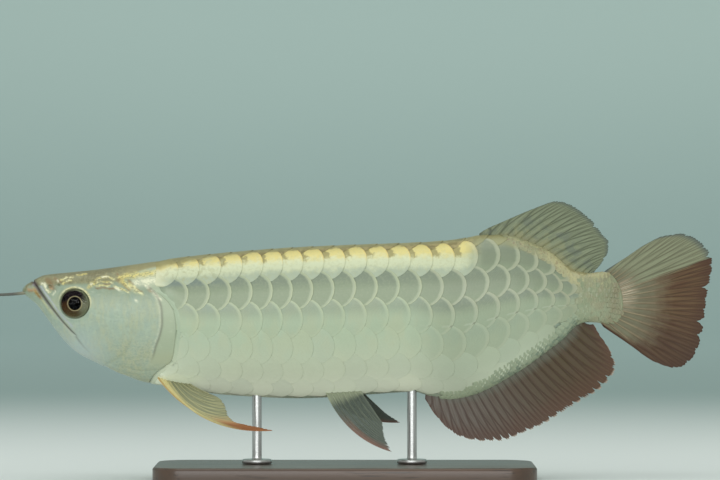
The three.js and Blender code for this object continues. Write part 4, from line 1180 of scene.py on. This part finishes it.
def pectoral_finish():
    """A clear olive web behind a thick yellow front edge that turns orange towards the tip."""
    fin = FinFinish("pectoral_fin_skin", 40)
    lead = 1 - (fin.spread + fin.streak * 0.06).ease(0.2, 0.5)
    base = fin.rays((152, 154, 118), (190, 186, 142), 0.2).coated(
        (fin.streak * 0.4, (96, 104, 78)),
        (lead * 0.85, (220, 208, 150)),
        (fin.spread.ease(0.06, 0.02) * 0.6, (206, 160, 92)),
        (lead * fin.reach.ease(0.62, 0.85), (164, 108, 70)))
    return fin.jointed(base, (0.72 + fin.ridge * 0.28 + lead * 0.28).least(1.0))


def pelvic_finish():
    """A clear grey web with grey-green rays, and rose-brown ones in front."""
    fin = FinFinish("pelvic_fin_skin", 40)
    lead = 1 - (fin.spread + fin.streak * 0.08).ease(0.1, 0.34)
    base = fin.rays((88, 98, 88), (106, 112, 98), 0.2).coated(
        (fin.streak * 0.4, (70, 80, 72)),
        (lead * fin.reach.ease(0.2, 0.6) * 0.8, (134, 98, 84)),
        ((fin.reach + fin.streak * 0.04).ease(0.22, 0.08) * 0.8, (164, 172, 144)))
    return fin.jointed(base, (0.74 + fin.ridge * 0.26).least(1.0))


def make_fins():
    """All seven fins."""

    def dorsal_root(t):
        x = lerp(67.5, 122.5, t)
        return x, back(x) - ROOT_SUNK

    def anal_root(t):
        x = lerp(40.3, 117.5, t)
        return x, belly(x) + ROOT_SUNK

    def tail_root(t):
        return lerp(129, 128, t) + 7 * np.sin(math.pi * t), lerp(103, 79, t)

    fin_sheet(
        "dorsal_fin_web", middle_fin(DORSAL_TIPS, dorsal_root, 3, (0.8, 5, 0)), 17, dorsal_finish(),
        "dorsal_fin", notch=0.022, splits=[(0.53, 0.04), (0.86, 0.07)])
    fin_sheet(
        "anal_fin_web", middle_fin(ANAL_TIPS, anal_root, -3, (1.1, 6, 0)), 26, anal_finish(),
        "anal_fin", per_ray=16, notch=0.036, tooth=1.9)
    fin_sheet(
        "caudal_fin_web", middle_fin(TAIL_TIPS, tail_root, 0, (2, 5, 0.6)), 19, tail_finish(),
        "caudal_fin", per_ray=22, notch=0.012, tooth=1.2,
        splits=[(0.361, 0.03), (0.528, 0.05), (0.694, 0.05), (0.75, 0.03)])
    sides = (
        ("left", -1, PECTORAL_LEFT_TIPS, PECTORAL_LEFT_BOW, PELVIC_LEFT_TIPS),
        ("right", 1, PECTORAL_RIGHT_TIPS, PECTORAL_RIGHT_BOW, PELVIC_RIGHT_TIPS))
    pectoral_paint, pelvic_paint = pectoral_finish(), pelvic_finish()
    for name, side, pectoral, bow, pelvic in sides:
        fin_sheet(
            "pectoral_fin_web_" + name, paired_fin(pectoral, PECTORAL_ROOTS, bow, side), 9,
            pectoral_paint, "pectoral_fin_" + name, thick=1.1)
        fin_sheet(
            "pelvic_fin_web_" + name, paired_fin(pelvic, PELVIC_ROOTS, PELVIC_BOW, side), 7, pelvic_paint,
            "pelvic_fin_" + name, notch=0.03)


# Eyes and barbels.

PUPIL_BULGE = 0.5
IRIS_IN = 3.3
IRIS_OUT = 6.9
IRIS_FOOT = [(7.25, -0.5), (7.3, -1.2), (6, -3.2), (0.1, -3.4)]
DOME_OUTSIDE = (6.95, 1.75, 0.35)
DOME_INSIDE = (6.7, 1.5, 0.38)


def revolved(profile, centre, axis, count=96):
    """A profile of (radius, height) turned round an axis through the centre."""
    radius, height = np.array(profile, float).T
    normal = unit(np.array(axis, float))
    flat = unit(np.cross(normal, (0, 0, 1)))
    upright = np.cross(flat, normal)
    angle = np.arange(count) * 2 * math.pi / count
    ring = np.cos(angle)[:, None] * flat + np.sin(angle)[:, None] * upright
    return np.array(centre) + radius[:, None, None] * ring + height[:, None, None] * normal


def bulge(radius, high, sunk, angles):
    """A profile along an ellipse: radius * sine and high * cosine of each angle, sunk by a little."""
    return [(radius * math.sin(a), high * math.cos(a) - sunk) for a in angles]


def make_eyes(iris_paint, clear_paint):
    """Each eye is a dark pupil bulging from a shallow cone of iris, under a clear dome that stands proud
    of the skin. Both are turned round the skin's own normal."""
    step = 0.4
    slope_x = (width_at(EYE_X + step, EYE_Z) - width_at(EYE_X - step, EYE_Z)) / (2 * step)
    slope_z = (width_at(EYE_X, EYE_Z + step) - width_at(EYE_X, EYE_Z - step)) / (2 * step)
    out = width_at(EYE_X, EYE_Z)
    iris = bulge(PUPIL_RADIUS, PUPIL_BULGE, 0.1, np.linspace(0.02, 1.5, 12))
    iris += [(r, -0.12 - 0.2 * ((r - 3.2) / 3.9) ** 2) for r in np.linspace(IRIS_IN, IRIS_OUT, 22)]
    iris += IRIS_FOOT
    dome = bulge(*DOME_OUTSIDE, np.linspace(0.02, math.pi / 2, 30))
    dome += bulge(*DOME_INSIDE, np.linspace(math.pi / 2, 0.02, 16))
    for name, side in (("left", -1), ("right", 1)):
        centre = (EYE_X, side * out + swing(EYE_X), EYE_Z)
        axis = (-slope_x, side, -slope_z)
        for label, profile, paint, nodes in (
                ("eye_", iris, iris_paint, ("eye_" + name,)), ("eye_dome_", dome, clear_paint, ())):
            points = revolved(profile, centre, axis)
            faces = [face[::-side] for face in tube_faces(*points.shape[:2])]
            away = np.repeat([radius for radius, _ in profile], points.shape[1])
            up = (points[..., 2] - EYE_Z) / EYE_RADIUS
            ahead = (EYE_X - points[..., 0]) / EYE_RADIUS
            values = {"away": away, "up": up, "ahead": ahead}
            piece(label + name, points, faces, paint, nodes, values)


def iris_finish():
    """A black pupil in a thin gold ring, and a dark iris: purple-black above, red-brown before and
    below, and silvery green behind, with a fine grain."""
    finish = Finish("iris", Specular_IOR_Level=0.03)
    away, up, ahead = finish.numbers("away", "up", "ahead")
    grain = finish.noise(1400, 4)
    clouds = finish.noise(420, 3)
    ring = 1 - (away - RING_RADIUS).size().ease(0.1, 0.28)
    base = (ahead + clouds * 0.3).ease(-0.45, 0.1).mix((150, 154, 126), (88, 66, 40)).coated(
        ((ahead + clouds * 0.4).ease(0.5, 1.1) * 0.6, (92, 58, 38)),
        ((up + away * 0.06 - 0.22).ease(0.0, 0.4) * ahead.ease(-1.0, -0.4), (20, 14, 26)),
        (up.ease(-0.3, -0.9) * 0.5, (112, 104, 68)),
        (grain * 0.25, (66, 52, 36)),
        (away.ease(6.2, 6.7) * ahead.ease(0.7, -0.4), (146, 152, 122)),
        (away.ease(6.75, 7.0), (112, 116, 92)),
        (ring * 0.85, (200, 188, 142)),
        (1 - away.ease(3.12, 3.3), (5, 6, 10)))
    off_pupil = away.ease(3.2, 3.7)
    return finish.finished(base, 0.7 - off_pupil * (0.45 - grain * 0.1), grain * off_pupil, 0.04)


def dome_finish():
    """Clear and smooth, and bending light only a little."""
    return Finish("eye_dome", IOR=1.1, Roughness=0.0, Transmission_Weight=1.0).material


BARBEL_X = (-158.5, -191)
BARBEL_APART = (2, 6.5)
BARBEL_THICK = (0.9, 0.4)
BARBEL_Z = 93.8
BARBEL_SAG = 1.2
BARBEL_STEPS = 64
BARBEL_ROUND = 16


def make_barbels(paint):
    """Two feelers reach forward from the lower jaw's tip. Each is a circle carried along a gently
    sagging parabola, thinning to its end with a slight ripple."""
    s = np.linspace(0, 1, BARBEL_STEPS)
    angle = np.arange(BARBEL_ROUND) * 2 * math.pi / BARBEL_ROUND
    for name, side in (("left", -1), ("right", 1)):
        path = np.stack([
            lerp(*BARBEL_X, s), side * lerp(*BARBEL_APART, s) + swing(BARBEL_X[0]),
            BARBEL_Z - BARBEL_SAG * 4 * s * (1 - s)], -1)
        radius = lerp(*BARBEL_THICK, s ** 0.8) * np.sqrt(np.clip((1 - s) * 40, 0.02, 1))
        radius *= 1 + 0.03 * np.sin(90 * s)
        along = unit(np.gradient(path, axis=0))
        wide = unit(np.cross((0, 1, 0), along))
        tall = np.cross(along, wide)
        ring = np.cos(angle)[None, :, None] * wide[:, None] + np.sin(angle)[None, :, None] * tall[:, None]
        points = path[:, None] + radius[:, None, None] * ring
        piece(
            "feeler_" + name, points, tube_faces(*points.shape[:2]), paint, ("barbel_" + name,),
            {"reach": np.repeat(s, BARBEL_ROUND)})


def barbel_finish():
    """Dark olive skin, paler at the root."""
    finish = Finish("feeler_skin", Coat_Weight=0.3)
    grain = finish.noise(1200, 3)
    reach, = finish.numbers("reach")
    base = reach.ease(0.0, 0.25).mix((140, 138, 112), (66, 70, 62)).coated((grain * 0.3, (96, 96, 84)))
    return finish.finished(base, 0.4 + grain * 0.1, grain, 0.06)


# The stand.

BASE_SIZE = (190, 84, 8)
BASE_CORNER = 16
BASE_EDGE = 1.4
ROD_X = (-44, 33.5)
ROD_RADIUS = 2.4
FOOT_RADIUS = 7.5
FOOT_THICK = 2.2
FOOT_ROUND = 0.9
FOOT_HOLLOW = 0.7
FOOT_EDGE = 0.3
ROD_ROUND = 48
NEARLY_UP = (0, 0.0001, 1)
GAP = 0.3


def make_stand(wood, steel):
    """The base is one rounded outline carried up a profile with quarter-round edges. Each rod is a
    profile turned round an upright line, with a round foot and a hollow above it, up into the belly."""
    long, wide, thick = BASE_SIZE
    corner = np.linspace(0, math.pi / 2, 17)
    quarter = np.arange(4)[:, None] * math.pi / 2 + corner
    sign_x, sign_y = np.sign(np.cos(quarter[:, 8:9])), np.sign(np.sin(quarter[:, 8:9]))
    arc = np.linspace(0, math.pi / 2, 7)
    rise = np.concatenate([BASE_EDGE * (1 - np.cos(arc)), thick - BASE_EDGE + BASE_EDGE * np.sin(arc)])
    inset = np.concatenate([BASE_EDGE * (1 - np.sin(arc)), BASE_EDGE * (1 - np.cos(arc))])
    rings = []
    for up, back_in in zip(rise, inset):
        radius = BASE_CORNER - back_in
        x = sign_x * (long / 2 - BASE_CORNER) + radius * np.cos(quarter)
        y = sign_y * (wide / 2 - BASE_CORNER) + radius * np.sin(quarter)
        rings.append(np.stack([x.ravel(), y.ravel(), np.full(x.size, up)], -1))
    faces = tube_faces(len(rings), len(rings[0]))
    base = piece("stand_base_board", rings, faces, wood, ("stand_base",))
    for face in (-1, -2):
        base.data.polygons[len(faces) + face].use_smooth = False
    bottom = thick + GAP
    for name, x in zip(("front", "rear"), ROD_X):
        top = float(lerp(belly(x), back(x), 0.16))
        foot = [(0.05, bottom), (FOOT_RADIUS - FOOT_EDGE, bottom), (FOOT_RADIUS, bottom + FOOT_EDGE)]
        foot += [
            (FOOT_RADIUS - FOOT_ROUND * (1 - math.cos(a)),
             bottom + FOOT_THICK - FOOT_ROUND + FOOT_ROUND * math.sin(a))
            for a in np.linspace(0, math.pi / 2, 6)]
        foot += [
            (ROD_RADIUS + FOOT_HOLLOW - FOOT_HOLLOW * math.sin(a),
             bottom + FOOT_THICK + FOOT_HOLLOW - FOOT_HOLLOW * math.cos(a))
            for a in np.linspace(0, math.pi / 2, 5)]
        foot += [(ROD_RADIUS, z) for z in np.linspace(bottom + 4, top, 12)] + [(0.05, top)]
        points = revolved(foot, (x, 0, 0), NEARLY_UP, ROD_ROUND)
        faces = tube_faces(len(foot), ROD_ROUND)
        piece("stand_post_" + name, points, faces, steel, ("stand_rod_" + name,))


def wood_finish():
    """Dark stained wood with its grain along X, under a satin varnish."""
    finish = Finish("dark_wood", Coat_Roughness=0.2)
    wavy = finish.noise(14, 3, (0.4, 3, 3))
    grain = finish.noise(220, 4, (0.05, 1, 1))
    pores = finish.noise(900, 2, (0.04, 1, 1)).ease(0.58, 0.7)
    base = (grain * 0.6 + wavy * 0.4).mix((44, 30, 22), (92, 66, 46)).coated((pores * 0.6, (24, 16, 12)))
    return finish.finished(base, 0.38 + grain * 0.15, grain * 0.5 - pores * 0.5, 0.12, Coat_Weight=0.45)


def steel_finish():
    """Brushed steel, with fine marks round the rod."""
    finish = Finish("brushed_steel", Metallic=1.0)
    marks = finish.noise(600, 3, (1, 1, 6))
    base = marks.mix((158, 160, 160), (196, 198, 196))
    return finish.finished(base, 0.24 + marks * 0.14, marks, 0.02)


# The room, lights and camera, in metres.

ROOM_FRONT = -6
ROOM_WIDE = 16
ROOM_HIGH = 5
SWEEP_START = 3.2
SWEEP_RADIUS = 2
FLOOR_Z = -0.0004
LAMPS = {
    "overhead": ((-0.1, -0.4, 1.6), (0, 0, 0.08), (1.2, 1.2), 7),
    "front": ((-0.2, -2.7, 0.22), (0, 0, 0.08), (3.0, 0.56), 28),
    "backdrop": ((0, 2.6, 3.2), (0, 5.0, 1.2), (2.4, 2.4), 44),
}
ROOM_LIGHT = (222, 225, 220)
ROOM_POWER = 0.85
CAMERA_PLACE = (0.0075, -2.1, 0.12)
CAMERA_LENS = 210
CAMERA_SENSOR = 36


def make_room():
    """A pale floor that sweeps up into a backdrop behind the fish: flat, then a quarter round, then
    upright. The floor is paler than the backdrop, which is painted darkest at its foot, as shade."""
    reach = [(ROOM_FRONT, 0), (SWEEP_START, 0)]
    reach += [
        (SWEEP_START + SWEEP_RADIUS * math.sin(a), SWEEP_RADIUS - SWEEP_RADIUS * math.cos(a))
        for a in np.linspace(0.05, math.pi / 2, 24)]
    reach += [(SWEEP_START + SWEEP_RADIUS, ROOM_HIGH)]
    y, z = np.array(reach).T
    x = np.array([-ROOM_WIDE / 2, ROOM_WIDE / 2])[:, None] + 0 * y
    points = np.stack([x, y + 0 * x, z + 0 * x + FLOOR_Z], -1).reshape(-1, 3)
    mesh = bpy.data.meshes.new("room_sweep")
    mesh.from_pydata(points.tolist(), [], grid_faces(2, len(y)).tolist())
    mesh.polygons.foreach_set("use_smooth", np.ones(len(mesh.polygons), bool))
    finish = Finish("pale_room", Roughness=0.85)
    # The backdrop and the far floor are painted darker towards the foot of the sweep, as shade.
    far = finish.noise(0.6, 2).mix((158, 179, 175), (167, 188, 183)).coated(
        (finish.axis("Z").ease(0.5, 0.0), (142, 164, 161)))
    near = finish.noise(0.9, 2).mix((221, 229, 228), (227, 235, 232))
    finish.set(Base_Color=finish.axis("Y").ease(0.15, 1.3).mix(near, far))
    mesh.materials.append(finish.material)
    room = bpy.data.objects.new("room_sweep", mesh)
    bpy.context.scene.collection.objects.link(room)


def make_light():
    """Wide soft lamps, each given by its place, its target, its width and height, and its power, and a
    pale light from all round."""
    for name, (place, target, sides, power) in LAMPS.items():
        light = bpy.data.lights.new(name, "AREA")
        light.shape = "RECTANGLE"
        light.size, light.size_y = sides
        light.energy = power
        lamp = bpy.data.objects.new(name, light)
        lamp.location = place
        way = np.array(target, float) - place
        tilt = math.acos(-way[2] / np.linalg.norm(way))
        lamp.rotation_euler = (tilt, 0, math.atan2(way[0], -way[1]) + math.pi)
        bpy.context.scene.collection.objects.link(lamp)
    world = bpy.data.worlds.new("pale_room_light")
    world.use_nodes = True
    background = world.node_tree.nodes["Background"]
    background.inputs["Color"].default_value = (*screen(*ROOM_LIGHT), 1)
    background.inputs["Strength"].default_value = ROOM_POWER
    bpy.context.scene.world = world
    bpy.context.scene.view_settings.view_transform = "Standard"


def make_camera():
    """Level with the fish's middle, square to its side, far enough for 360 mm to fill the picture's
    width."""
    data = bpy.data.cameras.new("camera")
    data.sensor_width = CAMERA_SENSOR
    data.lens = CAMERA_LENS
    data.clip_end = 50
    camera = bpy.data.objects.new("camera", data)
    camera.location = CAMERA_PLACE
    camera.rotation_euler = (math.pi / 2, 0, 0)
    bpy.context.scene.collection.objects.link(camera)
    bpy.context.scene.camera = camera


make_camera()
make_room()
make_light()
make_skin(skin_paint())
make_large_scales(large_scale_paint())
make_small_scales(small_scale_paint())
make_fins()
make_eyes(iris_finish(), dome_finish())
make_barbels(barbel_finish())
make_stand(wood_finish(), steel_finish())
